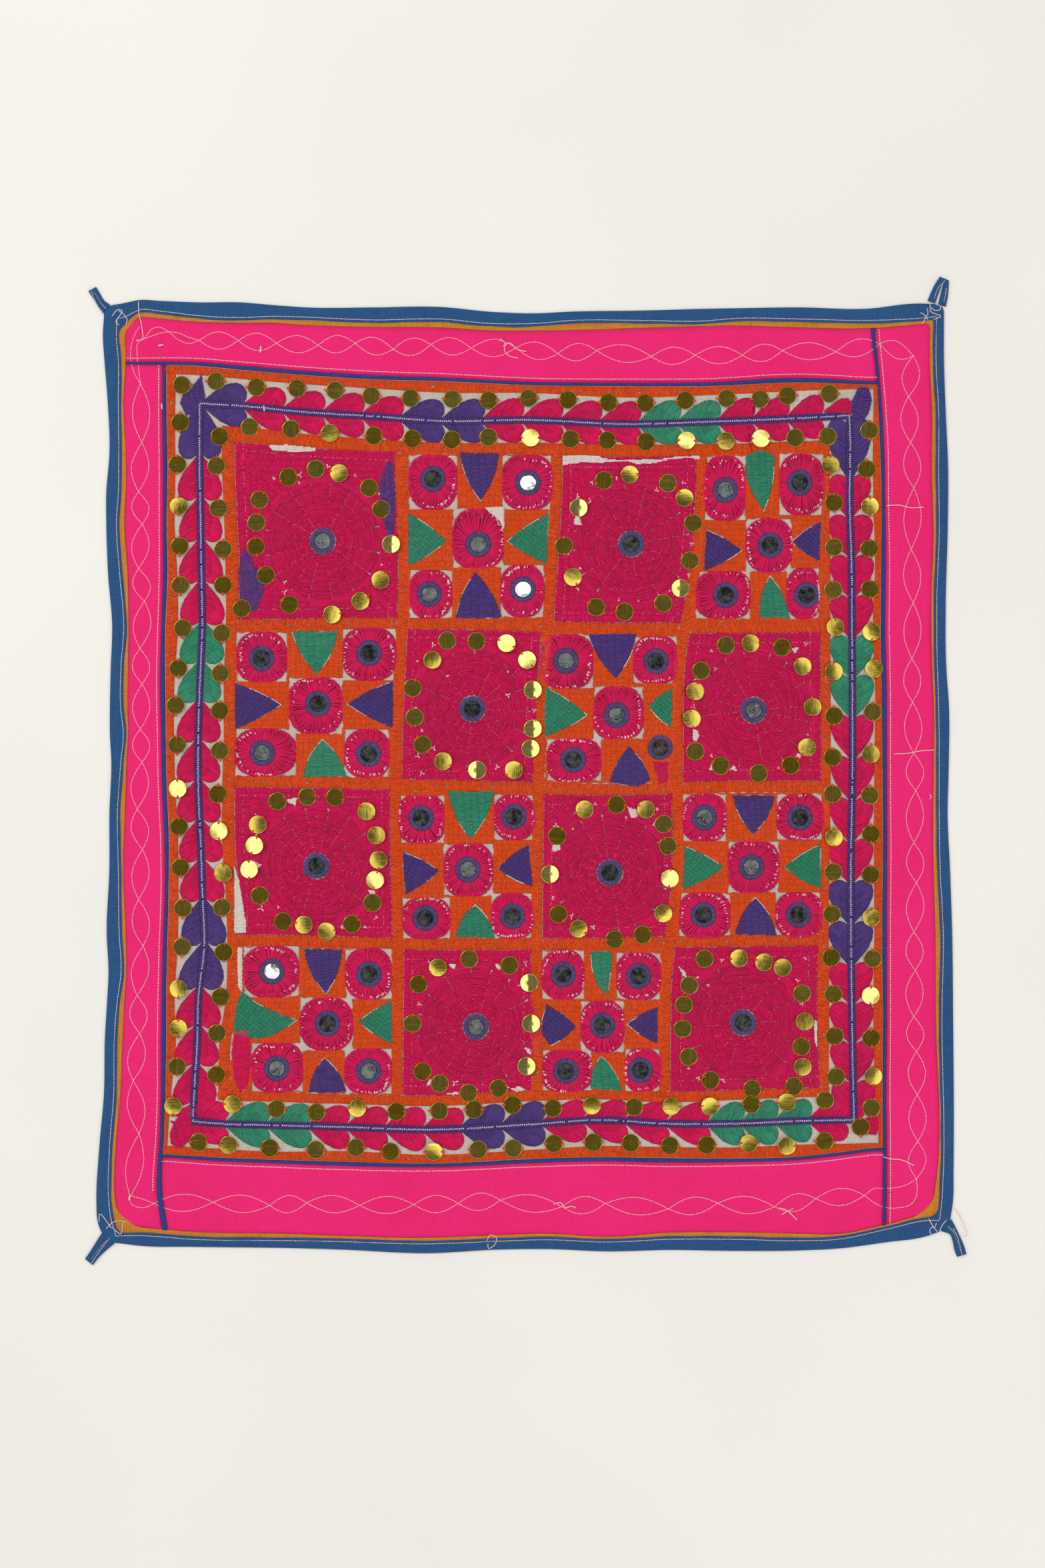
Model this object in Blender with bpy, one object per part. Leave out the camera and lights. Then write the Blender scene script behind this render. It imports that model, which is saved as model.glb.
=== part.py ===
"""A mirror work tapestry lying flat and face up: an embroidered panel with round glass mirrors,
four border strips, a rolled piping between them, an ochre trim, a blue binding and a hanging
loop at each corner. +X is the cloth's right, +Y its top, +Z out of its face; z = 0 is its back.
All tables are in millimetres."""

import math

import bmesh
import bpy
import numpy as np
from mathutils import Vector
from mathutils.geometry import delaunay_2d_cdt

MM = 0.001

# Heights above the back of the cloth.
SEAM_Z = 1.5
GROUND_Z = 1.4
FIELD_Z = 2.1
MOTIF_Z = 2.4
VINE_Z = 2.8
BOSS_Z = 3.1
PETAL_Z = 2.5
TUCK_Z = 3.4
STRIP_Z = 1.5
STRIP_WAVE = 0.3
STRIP_SHORT_WAVE = 31.0
STRIP_LONG_WAVE = 83.0
CREST_MARGIN = 20.0
CREST_STEP = 30.0
PIPING_EDGE_Z = 1.5
PIPING_TOP_Z = 2.4
TRIM_Z = 1.8
BINDING_EDGE_Z = 1.7
BINDING_TOP_Z = 2.4
LOOP_Z = 2.2

# Half of the gap between two neighbouring pieces.
HALF_GAP = 0.16
STRIP_GAP = 0.3
STATION_STEP = 36.0
STATION_MARGIN = 0.3

MIRROR_RADIUS = 9.0
MIRROR_THICK = 1.0
WELL_RADIUS = 9.45
WELL_LIP = 0.35
WELL_FLOOR_Z = 1.5
MIRROR_GAP = 0.3
RING_RADIUS = 15.5
ROUND_SIDES = 12
EYELET_HALF = 27.5
EYELET_SIDES = 8
EYELET_SQUARENESS = 2.6

LEAF_WIDTH = 21.0
LEAF_SHAPE = ((0, 0), (0.3, 0.55), (0.55, 0.9), (0.73, 1), (0.92, 0.84), (1.02, 0.4), (0.92, 0))
LEAF_RIDGE = (0.38, 0.78)
LEAF_RIDGE_OUT = 0.45
LEAF_GAP = 2.5
VINE_HALF = 3.2
BAR_WIDTH = 12.5
BAR_STATIONS = 13
PETAL_COUNT = 16
PETAL_INNER = 17.5
PETAL_OUTER = 50.0
FLOWER_STEP = 36.0
WEDGE_HALF = 22.0
WEDGE_MARGIN = 1.5
WEDGE_TIP_GAP = 2.0
WEDGE_INNER = 0.55

# Outer edge of the binding at stations along each side, with the binding's and the trim's width
# there. at: along the side; edge: across it; binding, trim: widths.
RIM = {
    "top": [
        (-459, 509, 17, 1.6),
        (-441, 512, 19.5, 1.6),
        (-423, 515.6, 14.6, 4.6),
        (-400, 514.6, 15, 4.5),
        (-357, 513, 18.5, 3),
        (-313, 513, 20.5, 2),
        (-276, 510, 16, 3.5),
        (-240, 507.5, 14.5, 5),
        (-167, 507.5, 17.5, 4),
        (-94, 508, 17, 5.5),
        (-35, 502.5, 16.5, 4),
        (8, 501, 15, 4),
        (52, 503, 13.5, 7),
        (125, 504, 14.5, 4.5),
        (198, 506, 17, 2),
        (227, 506.5, 15, 4),
        (300, 507.5, 16.5, 5.5),
        (373, 506, 16.5, 5),
        (430, 511.8, 20, 3),
        (452, 511, 17, 3),
    ],
    "bottom": [
        (-448, -516.8, 11.5, 7.5),
        (-421, -520, 15, 5),
        (-365, -521, 12, 4.5),
        (-253, -522.5, 12, 3.5),
        (-203, -524, 12.5, 2.5),
        (-108, -528, 14, 3),
        (-28, -524, 13, 3),
        (22, -523.5, 14, 3),
        (90, -526, 14, 2),
        (157, -524.5, 15.5, 3.5),
        (227, -525.5, 16.5, 4),
        (300, -525, 14.5, 4),
        (341, -523, 14, 2),
        (395, -516, 18, 1.5),
        (439, -509.4, 21, 2.5),
        (457, -503, 15, 3.5),
    ],
    "right": [
        (501, 458, 11.5, 3.5),
        (450, 458, 12.5, 3),
        (391, 460, 11.5, 3.5),
        (333, 462.5, 14, 4),
        (260, 462, 13, 2.5),
        (187, 460, 13.5, 2.5),
        (114, 460.5, 13.5, 2),
        (70, 463.5, 15, 1.6),
        (-3, 463, 14, 2.5),
        (-47, 462, 13, 3),
        (-105, 464.5, 14.5, 3.5),
        (-178, 467, 13.5, 5),
        (-265, 468, 16, 3),
        (-440, 468.5, 15, 3),
        (-470, 468, 16, 5.5),
        (-492, 464.8, 15.5, 6.5),
    ],
    "left": [
        (497, -462, 18.5, 6),
        (478, -463.2, 18.5, 6),
        (450, -461.5, 19, 4.5),
        (406, -458, 15.5, 2),
        (348, -456, 14, 4),
        (304, -459.5, 17, 4.5),
        (275, -459.5, 15, 5),
        (216, -457.5, 16.5, 5),
        (158, -453, 16.5, 1.6),
        (114, -454.5, 15, 4),
        (70, -455.5, 15.5, 4),
        (41, -455.5, 18.5, 1.6),
        (12, -454, 14.5, 2.5),
        (-47, -456, 12.5, 4.5),
        (-105, -456, 13.5, 1.6),
        (-178, -459, 17.5, 3.5),
        (-221, -457, 17.5, 2),
        (-251, -458.5, 15, 4),
        (-294, -461, 14, 5.5),
        (-353, -462, 14.5, 3.5),
        (-411, -467, 15, 3),
        (-473, -470.2, 17.5, 3.5),
        (-493, -469, 19, 5),
        (-506, -465, 19.5, 5.5),
    ],
}

# Lines inside the rim. at: along the side; the rest across it: the piping's outer and inner edge,
# the outer band's inner edge, the vine, and the inner bar's outer edge and its edge to the blocks.
SEAMS = {
    "top": [
        (-430, 447.5, 445, 434, 404, 380, 362),
        (-357, 447, 443.5, 433, 402, 379, 361),
        (-313, 443.5, 439.5, 429, 399.5, 377, 359.5),
        (-240, 437.5, 433.5, 423, 392.5, 369, 353.5),
        (-167, 433, 429, 418.5, 388, 363.5, 349.5),
        (-94, 430.5, 427, 414, 383, 359.5, 348),
        (8, 425.5, 422.5, 413.5, 384, 359.5, 346.5),
        (110, 424.5, 421.5, 408.5, 379.5, 357.5, 343),
        (198, 425, 421.5, 411, 382, 358, 345.5),
        (300, 430, 425.5, 416, 386, 361, 349),
        (373, 426.5, 423.5, 418.5, 390, 364, 352),
    ],
    "bottom": [
        (-393, -423, -420, -410, -380, -353, -341.5),
        (-335, -427, -423.5, -413.5, -386, -360.5, -348.5),
        (-284, -429, -425.5, -416.5, -387.5, -362, -351),
        (-203, -432, -428, -416, -389.5, -364.5, -354),
        (-101, -433.5, -430, -420, -392.5, -367, -355),
        (8, -429, -425, -414.5, -386.5, -361.5, -349.5),
        (81, -427, -423, -410.5, -382, -359.5, -349.5),
        (154, -428.5, -424, -411.5, -386, -363, -351),
        (227, -428, -424.5, -412, -386, -360.5, -349),
        (300, -425.5, -422.5, -409, -383, -357.5, -347),
        (380, -416, -413, -407.5, -381.5, -356, -345),
    ],
    "right": [
        (479, 382.5, 378.5, 374, 350, 327, 318),
        (421, 388, 385, 381, 352.5, 329.5, 320.5),
        (362, 392, 388, 380, 355, 332.5, 325.5),
        (289, 393, 390, 380.5, 354.5, 332.5, 324),
        (231, 394, 389.5, 382.5, 356.5, 333.5, 322.5),
        (158, 393.5, 389, 380, 357, 333.5, 322.5),
        (85, 395, 390, 382.5, 357.5, 334, 322.5),
        (-3, 395, 391, 381.5, 357.5, 334, 323.5),
        (-90, 395.5, 391.5, 381, 356, 333, 323.5),
        (-178, 395, 390.5, 381.5, 356, 332, 320),
        (-265, 395, 391.5, 380.5, 357, 332.5, 319),
        (-353, 394.5, 391, 382.5, 358.5, 332, 322),
        (-411, 395, 391.5, 387, 360, 333.5, 322.5),
        (-500, 394.5, 391, 387, 360, 333.5, 322.5),
    ],
    "left": [
        (447, -397.5, -394, -382.5, -357, -332, -319),
        (377, -397.5, -393.5, -384, -357, -333, -319),
        (333, -397, -392.5, -383.5, -357, -333, -318.5),
        (275, -397, -393.5, -384.5, -356, -330.5, -316),
        (216, -397, -392.5, -381.5, -355, -329, -313.5),
        (158, -398.5, -395, -380.5, -354, -328.5, -316),
        (99, -400, -395, -384.5, -356.5, -331, -317.5),
        (41, -399, -394.5, -385, -358.5, -331, -316.5),
        (-17, -398, -393.5, -383.5, -358.5, -332.5, -318.5),
        (-75, -395.5, -391, -380.5, -356, -333, -318.5),
        (-134, -395, -391.5, -380, -354, -329, -314.5),
        (-192, -397, -393, -381, -352, -327, -314.5),
        (-251, -398.5, -394, -384.5, -358.5, -329, -314.5),
        (-294, -399, -394, -383, -359.5, -335.5, -322.5),
        (-353, -399, -395, -388.5, -363, -337, -324),
        (-397, -400.5, -396.5, -392, -365, -338.5, -325.5),
        (-463, -403.5, -398, -393, -366, -339, -326),
        (-500, -398.5, -392.5, -388, -366, -339, -326),
    ],
}
SEAM_COLUMNS = ("pipe_out", "pipe_in", "band_in", "vine", "bar_out", "bar_in")

# Centre lines of the bars between the blocks. at: along the bar; centre: across it.
COLUMN_BARS = [
    [(334, -137), (194, -133.5), (117, -138), (-24, -142.5), (-199, -140), (-324, -141)],
    [(304, 33.5), (194, 26.5), (42, 16), (-68, 13), (-145, 12), (-324, 13)],
    [(304, 192.5), (194, 181.5), (117, 168), (23, 166), (-134, 164.5), (-221, 154), (-324, 152)],
]
ROW_BARS = [
    [(-280, 160), (-103, 161.5), (101, 156), (231, 157), (322, 158)],
    [(-280, -12), (-65, -16.5), (101, -20.5), (231, -17), (322, -17)],
    [(-287, -185), (-65, -190), (64, -189), (227, -186), (322, -185)],
]

# Centres of the blocks with a round flower, by row and column.
FLOWERS = {
    (1, 1): (-222.5, 251.5),
    (1, 3): (115.5, 248.5),
    (2, 2): (-58.5, 68),
    (2, 4): (249.5, 66.5),
    (3, 1): (-229, -104),
    (3, 3): (92, -111.5),
    (4, 2): (-54.5, -280),
    (4, 4): (238, -275.5),
}

# Mirrors of the blocks with five eyelets, by row and column: top left, top right, centre,
# bottom left, bottom right.
EYELETS = {
    (1, 2): ((-101.5, 319.5), (2.5, 315.5), (-52, 248), (-105.5, 193.5), (-3, 199)),
    (1, 4): ((218.5, 307.5), (300, 315.5), (267.5, 247), (219, 192.5), (307.5, 192.5)),
    (2, 1): ((-289, 123), (-171.5, 129), (-227.5, 73.5), (-288.5, 19.5), (-172, 18.5)),
    (2, 3): ((44, 120.5), (142.5, 120), (99.5, 61), (52, 12), (147, 25.5)),
    (3, 2): ((-114.5, -51.5), (-13, -50), (-63.5, -108), (-110, -161), (-14.5, -159)),
    (3, 4): ((195.5, -51), (300, -51), (247, -105), (194.5, -157.5), (298.5, -157.5)),
    (4, 1): ((-278, -219.5), (-171.5, -222.5), (-217, -276.5), (-272.5, -325.5), (-172, -328.5)),
    (4, 3): ((41, -222.5), (123.5, -224.5), (84, -278.5), (44, -328.5), (125.5, -327.5)),
}
EYELET_NAMES = ("tl", "tr", "mid", "bl", "br")
WITHOUT_EYELET = [(147, 25.5)]

# Runs of leaves along the vine. start, stop: along the side, from tip to round end; pairs.
LEAF_RUNS = {
    "top": [(-352, -307, 1), (-307, -135, 4), (-135, -46, 2), (-46, 125, 4), (125, 212, 2), (212, 335, 3)],
    "bottom": [(-388, -327, 1), (-327, -236, 2), (-236, -69, 4), (-69, 20, 2), (20, 201, 4), (201, 312, 3),
               (312, 352, 1)],
    "left": [(398, 343, 1), (343, 161, 4), (161, 76, 2), (76, -142, 5), (-142, -238, 2), (-238, -364, 3)],
    "right": [(-363, -214, 3), (-214, -121, 2), (-121, 60, 4), (60, 147, 2), (147, 323, 4), (323, 400, 1)],
}

# Hanging loops of folded tape, at stations from the binding to the fold at the tip: left edge x
# and y, right edge x and y.
LOOPS = {
    "top_left": [
        (-463, 500.2, -455.4, 510.6),
        (-468.2, 508.4, -461.7, 515.1),
        (-473.7, 517.1, -466, 522.2),
        (-479, 525.2, -470.5, 529.8),
    ],
    "top_right": [
        (440, 514.6, 459.9, 508.1),
        (443.5, 523.3, 462.1, 518.6),
        (447.9, 532.5, 463, 527.7),
        (453.4, 541.05, 463.4, 536.7),
    ],
    "bottom_left": [
        (-464.5, -506.2, -450.2, -517.2),
        (-470.8, -516, -459.5, -524.9),
        (-476.5, -525.2, -466.8, -531.9),
        (-482.55, -534, -474.2, -541.05),
    ],
    "bottom_right": [
        (455.1, -504, 466.3, -490.9),
        (464.4, -507.4, 471.3, -500.7),
        (467.6, -515.5, 476, -510.7),
        (469.5, -524.6, 479.9, -519.6),
        (472.4, -531.9, 482.55, -528.7),
    ],
}
# Width of the slit between a loop's two legs, where it starts and near the fold.
SLIT_START = {"top_left": 1.0, "top_right": 3.4, "bottom_left": 1.0, "bottom_right": 1.0}
SLIT_STOP = 0.7

# The pinched tuck across the top of the panel.
TUCK = [(247.5, 413), (248.3, 402), (243.2, 365), (246, 348)]

# Corner rounding of the outer edge: top left, top right, bottom right, bottom left.
EDGE_ROUNDING = (8.5, 8.5, 13.0, 16.0)
CORNER_PULL = 0.15
CREST_SHARE = 0.4
MIDDLE = 0.5

# Points of the face nearer than this become one; so do points of the back.
FACE_WELD = 0.02
BACK_WELD = 0.001
CROSSING_ROUNDS = 20
SHARP_ANGLE = 35.0

COLOURS = {
    "panel": ((0.75, 0.11, 0.03), 0.85, 0.0),
    "strip": ((0.79, 0.02, 0.19), 0.85, 0.0),
    "piping": ((0.03, 0.04, 0.25), 0.85, 0.0),
    "trim": ((0.55, 0.21, 0.01), 0.8, 0.0),
    "binding": ((0.01, 0.08, 0.25), 0.85, 0.0),
    "loop": ((0.01, 0.08, 0.25), 0.85, 0.0),
    "mirror": ((0.5, 0.52, 0.52), 0.1, 1.0),
}
SIDES = ("top", "right", "bottom", "left")
HORIZONTAL = ("top", "bottom")
INWARD = {"top": -1, "bottom": 1, "left": 1, "right": -1}


def clear_scene():
    for obj in list(bpy.data.objects):
        bpy.data.objects.remove(obj)


def materials():
    made = {}
    for name, (colour, roughness, metallic) in COLOURS.items():
        material = bpy.data.materials.new(name)
        material.use_nodes = True
        shader = material.node_tree.nodes["Principled BSDF"]
        shader.inputs["Base Color"].default_value = (*colour, 1)
        shader.inputs["Roughness"].default_value = roughness
        shader.inputs["Metallic"].default_value = metallic
        made[name] = material
    return made


def smooth_line(rows):
    """A soft curve through (at, across) rows, as a function of at."""
    rows = sorted(rows)
    at = np.array([row[0] for row in rows], float)
    across = np.array([row[1] for row in rows], float)
    slope = np.gradient(across, at)

    def read(where):
        i = int(np.clip(np.searchsorted(at, where) - 1, 0, len(at) - 2))
        span = at[i + 1] - at[i]
        t = min(max((where - at[i]) / span, 0.0), 1.0)
        start = (1 + 2 * t) * (1 - t) ** 2 * across[i] + t * t * (3 - 2 * t) * across[i + 1]
        return start + span * (t * (1 - t) ** 2 * slope[i] - t * t * (1 - t) * slope[i + 1])

    return read


def side_lines():
    """Every named line of each side, from the rim and the seam tables."""
    lines = {}
    for side, rows in RIM.items():
        inward = INWARD[side]
        lines[side, "edge"] = smooth_line([(at, edge) for at, edge, _, _ in rows])
        lines[side, "binding_in"] = smooth_line([(at, edge + inward * width) for at, edge, width, _ in rows])
        lines[side, "trim_in"] = smooth_line(
            [(at, edge + inward * (width + trim)) for at, edge, width, trim in rows]
        )
    for side, rows in SEAMS.items():
        for column, name in enumerate(SEAM_COLUMNS, 1):
            lines[side, name] = smooth_line([(row[0], row[column]) for row in rows])
    return lines


LINES = side_lines()


def side_line(side, name, inset=0.0):
    """A line of a side, moved inwards. A name may also be a mix of two: (first, second, share).
    Every line is a pair: whether it lies flat, along x, and how far across it is at a place."""
    first, second, share = name if isinstance(name, tuple) else (name, name, 0.0)

    def read(at):
        value = (1 - share) * LINES[side, first](at) + share * LINES[side, second](at)
        return value + INWARD[side] * inset

    return side in HORIZONTAL, read


def crossing(first, second):
    """The corner where a flat line meets an upright one."""
    flat, upright = (first, second) if first[0] else (second, first)
    x, y = upright[1](0.0), flat[1](0.0)
    for _ in range(CROSSING_ROUNDS):
        x, y = upright[1](y), flat[1](x)
    return x, y


def outline(lines, rounding=(0.0,), step=STATION_STEP):
    """The closed path along each line in turn, from corner to corner, each corner cut round."""
    count = len(lines)
    corners = [crossing(lines[i - 1], lines[i]) for i in range(count)]
    cuts = [rounding[i % len(rounding)] for i in range(count)]
    path = []
    for i, line in enumerate(lines):
        after = (i + 1) % count
        axis = 0 if line[0] else 1
        way = math.copysign(1, corners[after][axis] - corners[i][axis])
        start, stop = corners[i][axis] + way * cuts[i], corners[after][axis] - way * cuts[after]
        marks = stations_between(start, stop, step)
        marks = ([start] if cuts[i] else []) + marks + ([stop] if cuts[after] else [])
        path.append(rounded(lines[i - 1], line, corners[i], cuts[i]))
        path += [on_line(line, at) for at in marks]
    return path


def stations_between(start, stop, step):
    """The multiples of step between two places, in order, so that neighbours bend at the same ones."""
    low, high = sorted((start, stop))
    margin = STATION_MARGIN * step
    marks = range(math.ceil((low + margin) / step), math.floor((high - margin) / step) + 1)
    return [n * step for n in (marks if stop > start else reversed(marks))]


def on_line(line, at):
    value = line[1](at)
    return (at, value) if line[0] else (value, at)


def rounded(before, after, corner, cut):
    """The middle of a corner's rounding, or the corner itself where it isn't cut."""
    if not cut:
        return corner
    ends = []
    for line in (before, after):
        at = corner[0] if line[0] else corner[1]
        ends.append(on_line(line, at - math.copysign(cut, at)))
    middle = [(ends[0][k] + ends[1][k]) / 2 for k in (0, 1)]
    return tuple(CORNER_PULL * corner[k] + (1 - CORNER_PULL) * middle[k] for k in (0, 1))


def ring(name, inset=0.0, rounding=(0.0,), step=STATION_STEP):
    return outline([side_line(side, name, inset) for side in SIDES], rounding, step)


def raised(path, height):
    return [(x, y, height) for x, y in path]


def inside(points, polygon):
    """Which of the points lie inside the polygon, by counting the edges to their right."""
    found = np.zeros(len(points), bool)
    x, y = points[:, 0], points[:, 1]
    corners = np.array(polygon, np.float32).astype(float)
    for (x0, y0, _), (x1, y1, _) in zip(corners, np.roll(corners, -1, axis=0)):
        if y0 == y1:
            continue
        spans = (y0 > y) != (y1 > y)
        found ^= spans & (x < x0 + (y - y0) / (y1 - y0) * (x1 - x0))
    return found


def sheet(name, outer, material, holes=(), loops=(), lines=()):
    """A sheet with a flat back at z = 0 and a relief on its face. outer, holes and loops are
    closed paths of (x, y, z); lines are open ones, and each gives the face its height there."""
    points, edges = [], []
    for path in (outer, *holes, *loops):
        first = len(points)
        points += path
        edges += [(first + i, first + (i + 1) % len(path)) for i in range(len(path))]
    for path in lines:
        first = len(points)
        points += path
        edges += [(first + i, first + i + 1) for i in range(len(path) - 1)]
    flat = [Vector(point[:2]) for point in points]
    made, _, faces, sources, _, _ = delaunay_2d_cdt(flat, edges, [], 0, FACE_WELD)
    heights = [points[source[0]][2] if source else FIELD_Z for source in sources]
    faces = kept_faces(made, faces, outer, holes)

    shape = bmesh.new()
    used = sorted({i for face in faces for i in face})
    verts = {i: shape.verts.new((made[i].x * MM, made[i].y * MM, heights[i] * MM)) for i in used}
    for face in faces:
        shape.faces.new([verts[i] for i in face])
    close_back(shape, made, faces, verts, outer, holes)
    bmesh.ops.recalc_face_normals(shape, faces=shape.faces)
    return finished(name, shape, material)


def close_back(shape, made, faces, verts, outer, holes):
    """Walls from the face's rim down to z = 0, and a flat back between them."""
    sides = {(face[i - 1], face[i]) for face in faces for i in range(3)}
    rim = sorted(side for side in sides if side[::-1] not in sides)
    used = sorted({i for side in rim for i in side})
    low = {i: shape.verts.new((made[i].x * MM, made[i].y * MM, 0.0)) for i in used}
    for first, second in rim:
        shape.faces.new((verts[first], verts[second], low[second], low[first]))
    place = {i: n for n, i in enumerate(used)}
    edges = [(place[first], place[second]) for first, second in rim]
    flat, _, back, sources, _, _ = delaunay_2d_cdt([made[i] for i in used], edges, [], 0, BACK_WELD)
    for face in kept_faces(flat, back, outer, holes):
        shape.faces.new([low[used[sources[i][0]]] for i in face])


def kept_faces(made, faces, outer, holes):
    """The triangles that lie inside the outer path and outside every hole."""
    centres = np.array([[sum(made[i][k] for i in face) / 3 for k in (0, 1)] for face in faces])
    keep = inside(centres, outer)
    for hole in holes:
        keep &= ~inside(centres, hole)
    return [face for face, kept in zip(faces, keep) if kept]


def finished(name, shape, material):
    mesh = bpy.data.meshes.new(name)
    shape.to_mesh(mesh)
    shape.free()
    mesh.shade_smooth()
    mesh.set_sharp_from_angle(angle=math.radians(SHARP_ANGLE))
    mesh.materials.append(material)
    obj = bpy.data.objects.new(name, mesh)
    bpy.context.collection.objects.link(obj)
    return obj


def polygon_round(centre, radius, sides, squareness=2.0):
    """A closed path around a centre: a circle, or a rounded square at a higher squareness."""
    path = []
    for i in range(sides):
        angle = 2 * math.pi * (i + 0.5) / sides
        c, s = math.cos(angle), math.sin(angle)
        reach = radius / (abs(c) ** squareness + abs(s) ** squareness) ** (1 / squareness)
        path.append((centre[0] + reach * c, centre[1] + reach * s))
    return path


def well(centre):
    """The stitched ring around a mirror: its foot, its crest and the floor that the glass lies on."""
    foot = polygon_round(centre, RING_RADIUS, EYELET_SIDES)
    crest = polygon_round(centre, WELL_RADIUS + WELL_LIP, ROUND_SIDES)
    floor = polygon_round(centre, WELL_RADIUS, ROUND_SIDES)
    return [raised(foot, FIELD_Z), raised(crest, BOSS_Z), raised(floor, WELL_FLOOR_Z)]


def all_mirrors():
    """Name and centre of every mirror, block by block."""
    found = {}
    for (row, column), centre in FLOWERS.items():
        found[f"mirror_r{row}c{column}"] = centre
    for (row, column), centres in EYELETS.items():
        for part, centre in zip(EYELET_NAMES, centres):
            found[f"mirror_r{row}c{column}_{part}"] = centre
    return found


def leaf(tip, end, lean, width):
    """A teardrop from its tip to its round end, beside the vine. lean is +1 or -1, the vine's side."""
    tip, end = np.array(tip), np.array(end)
    along = end - tip
    side = np.array([-along[1], along[0]]) * lean / np.linalg.norm(along)
    rim = [tuple(tip + along * t + side * width * w) for t, w in LEAF_SHAPE]
    ridge = [tuple(tip + along * t + side * width * LEAF_RIDGE_OUT) for t in LEAF_RIDGE]
    return raised(rim, SEAM_Z), raised(ridge, MOTIF_Z)


def leaves():
    rims, ridges = [], []
    for side, runs in LEAF_RUNS.items():
        flat = side in HORIZONTAL
        for start, stop, pairs in runs:
            pitch = (stop - start) / pairs
            gap = math.copysign(LEAF_GAP, pitch)
            for n in range(pairs):
                spots = [start + pitch * n, start + pitch * (n + 1) - gap]
                for hand in (-1, 1):
                    ends = []
                    for at in spots:
                        value = LINES[side, "vine"](at) + hand * VINE_HALF
                        ends.append((at, value) if flat else (value, at))
                    along_sign = 1 if pitch > 0 else -1
                    lean = hand * along_sign * (1 if flat else -1)
                    rim, ridge = leaf(*ends, lean, LEAF_WIDTH)
                    rims.append(rim)
                    ridges.append(ridge)
    return rims, ridges


def bar_edge(bar, shift, flat):
    read = smooth_line(bar)
    return flat, lambda at: read(at) + shift


def block_lines(row, column):
    """The lines around a block: the inner bar's edge or the edge of a bar between the blocks."""
    half = BAR_WIDTH / 2
    return [
        side_line("top", "bar_in") if row == 1 else bar_edge(ROW_BARS[row - 2], -half, True),
        side_line("right", "bar_in") if column == 4 else bar_edge(COLUMN_BARS[column - 1], -half, False),
        side_line("bottom", "bar_in") if row == 4 else bar_edge(ROW_BARS[row - 1], half, True),
        side_line("left", "bar_in") if column == 1 else bar_edge(COLUMN_BARS[column - 2], half, False),
    ]


def flower(row, column):
    """The square of a round flower, with its petals' crests and the seams between them."""
    centre = np.array(FLOWERS[row, column])
    square = outline(block_lines(row, column), step=FLOWER_STEP)
    rays = []
    for i in range(2 * PETAL_COUNT):
        angle = math.pi * (i + 0.5) / PETAL_COUNT
        height = PETAL_Z if i % 2 else SEAM_Z
        ray = [centre + r * np.array([math.cos(angle), math.sin(angle)]) for r in (PETAL_INNER, PETAL_OUTER)]
        rays.append(raised([tuple(spot) for spot in ray], height))
    return raised(square, SEAM_Z), rays


def wedge(base, tip):
    """A triangle motif: its outline and a raised inner triangle."""
    (x0, y0), (x1, y1) = base
    corners = np.array([(x0, y0), (x1, y1), tip])
    centre = corners.mean(axis=0)
    inner = centre + (corners - centre) * WEDGE_INNER
    return [raised([tuple(c) for c in corners], SEAM_Z), raised([tuple(c) for c in inner], MOTIF_Z)]


def eyelet_block(row, column):
    """Four triangles between the eyelets, based on the block's edges and pointing to its middle."""
    middle = EYELETS[row, column][2]
    loops = []
    for (flat, read), inward in zip(block_lines(row, column), (-1, -1, 1, 1)):
        at = middle[0] if flat else middle[1]
        base = []
        for hand in (-1, 1):
            spot = at + hand * WEDGE_HALF
            value = read(spot) + inward * WEDGE_MARGIN
            base.append((spot, value) if flat else (value, spot))
        foot = np.mean(base, axis=0)
        reach = math.dist(foot, middle) - EYELET_HALF - WEDGE_TIP_GAP
        tip = foot + (np.array(middle) - foot) * reach / math.dist(foot, middle)
        loops += wedge(base, tuple(tip))
    for centre in EYELETS[row, column]:
        if centre not in WITHOUT_EYELET:
            loops.append(raised(polygon_round(centre, EYELET_HALF, EYELET_SIDES, EYELET_SQUARENESS), SEAM_Z))
    return loops


def bar_lines():
    """Crest lines of the bars between the blocks, from one side of the inner bar to the other."""
    found = []
    for bar in COLUMN_BARS:
        line = bar_edge(bar, 0.0, False)
        low, high = crossing(line, side_line("bottom", "bar_in")), crossing(line, side_line("top", "bar_in"))
        found.append(raised([on_line(line, y) for y in np.linspace(low[1], high[1], BAR_STATIONS)], FIELD_Z))
    for bar in ROW_BARS:
        line = bar_edge(bar, 0.0, True)
        low, high = crossing(line, side_line("left", "bar_in")), crossing(line, side_line("right", "bar_in"))
        found.append(raised([on_line(line, x) for x in np.linspace(low[0], high[0], BAR_STATIONS)], FIELD_Z))
    return found


def build_panel(material):
    outer = raised(ring("pipe_in", HALF_GAP), FIELD_Z)
    loops = [
        raised(ring(("pipe_in", "band_in", MIDDLE)), FIELD_Z),
        raised(ring("band_in"), GROUND_Z),
        raised(ring("vine"), VINE_Z),
        raised(ring("bar_out"), GROUND_Z),
        raised(ring(("bar_out", "bar_in", MIDDLE)), FIELD_Z),
    ]
    rims, ridges = leaves()
    loops += rims
    lines = ridges + bar_lines() + [raised(TUCK, TUCK_Z)]
    for row, column in FLOWERS:
        square, rays = flower(row, column)
        loops.append(square)
        lines += rays
    for row, column in EYELETS:
        loops += eyelet_block(row, column)
    for centre in all_mirrors().values():
        loops += well(centre)
    return sheet("panel", outer, material, loops=loops, lines=lines)


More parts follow.
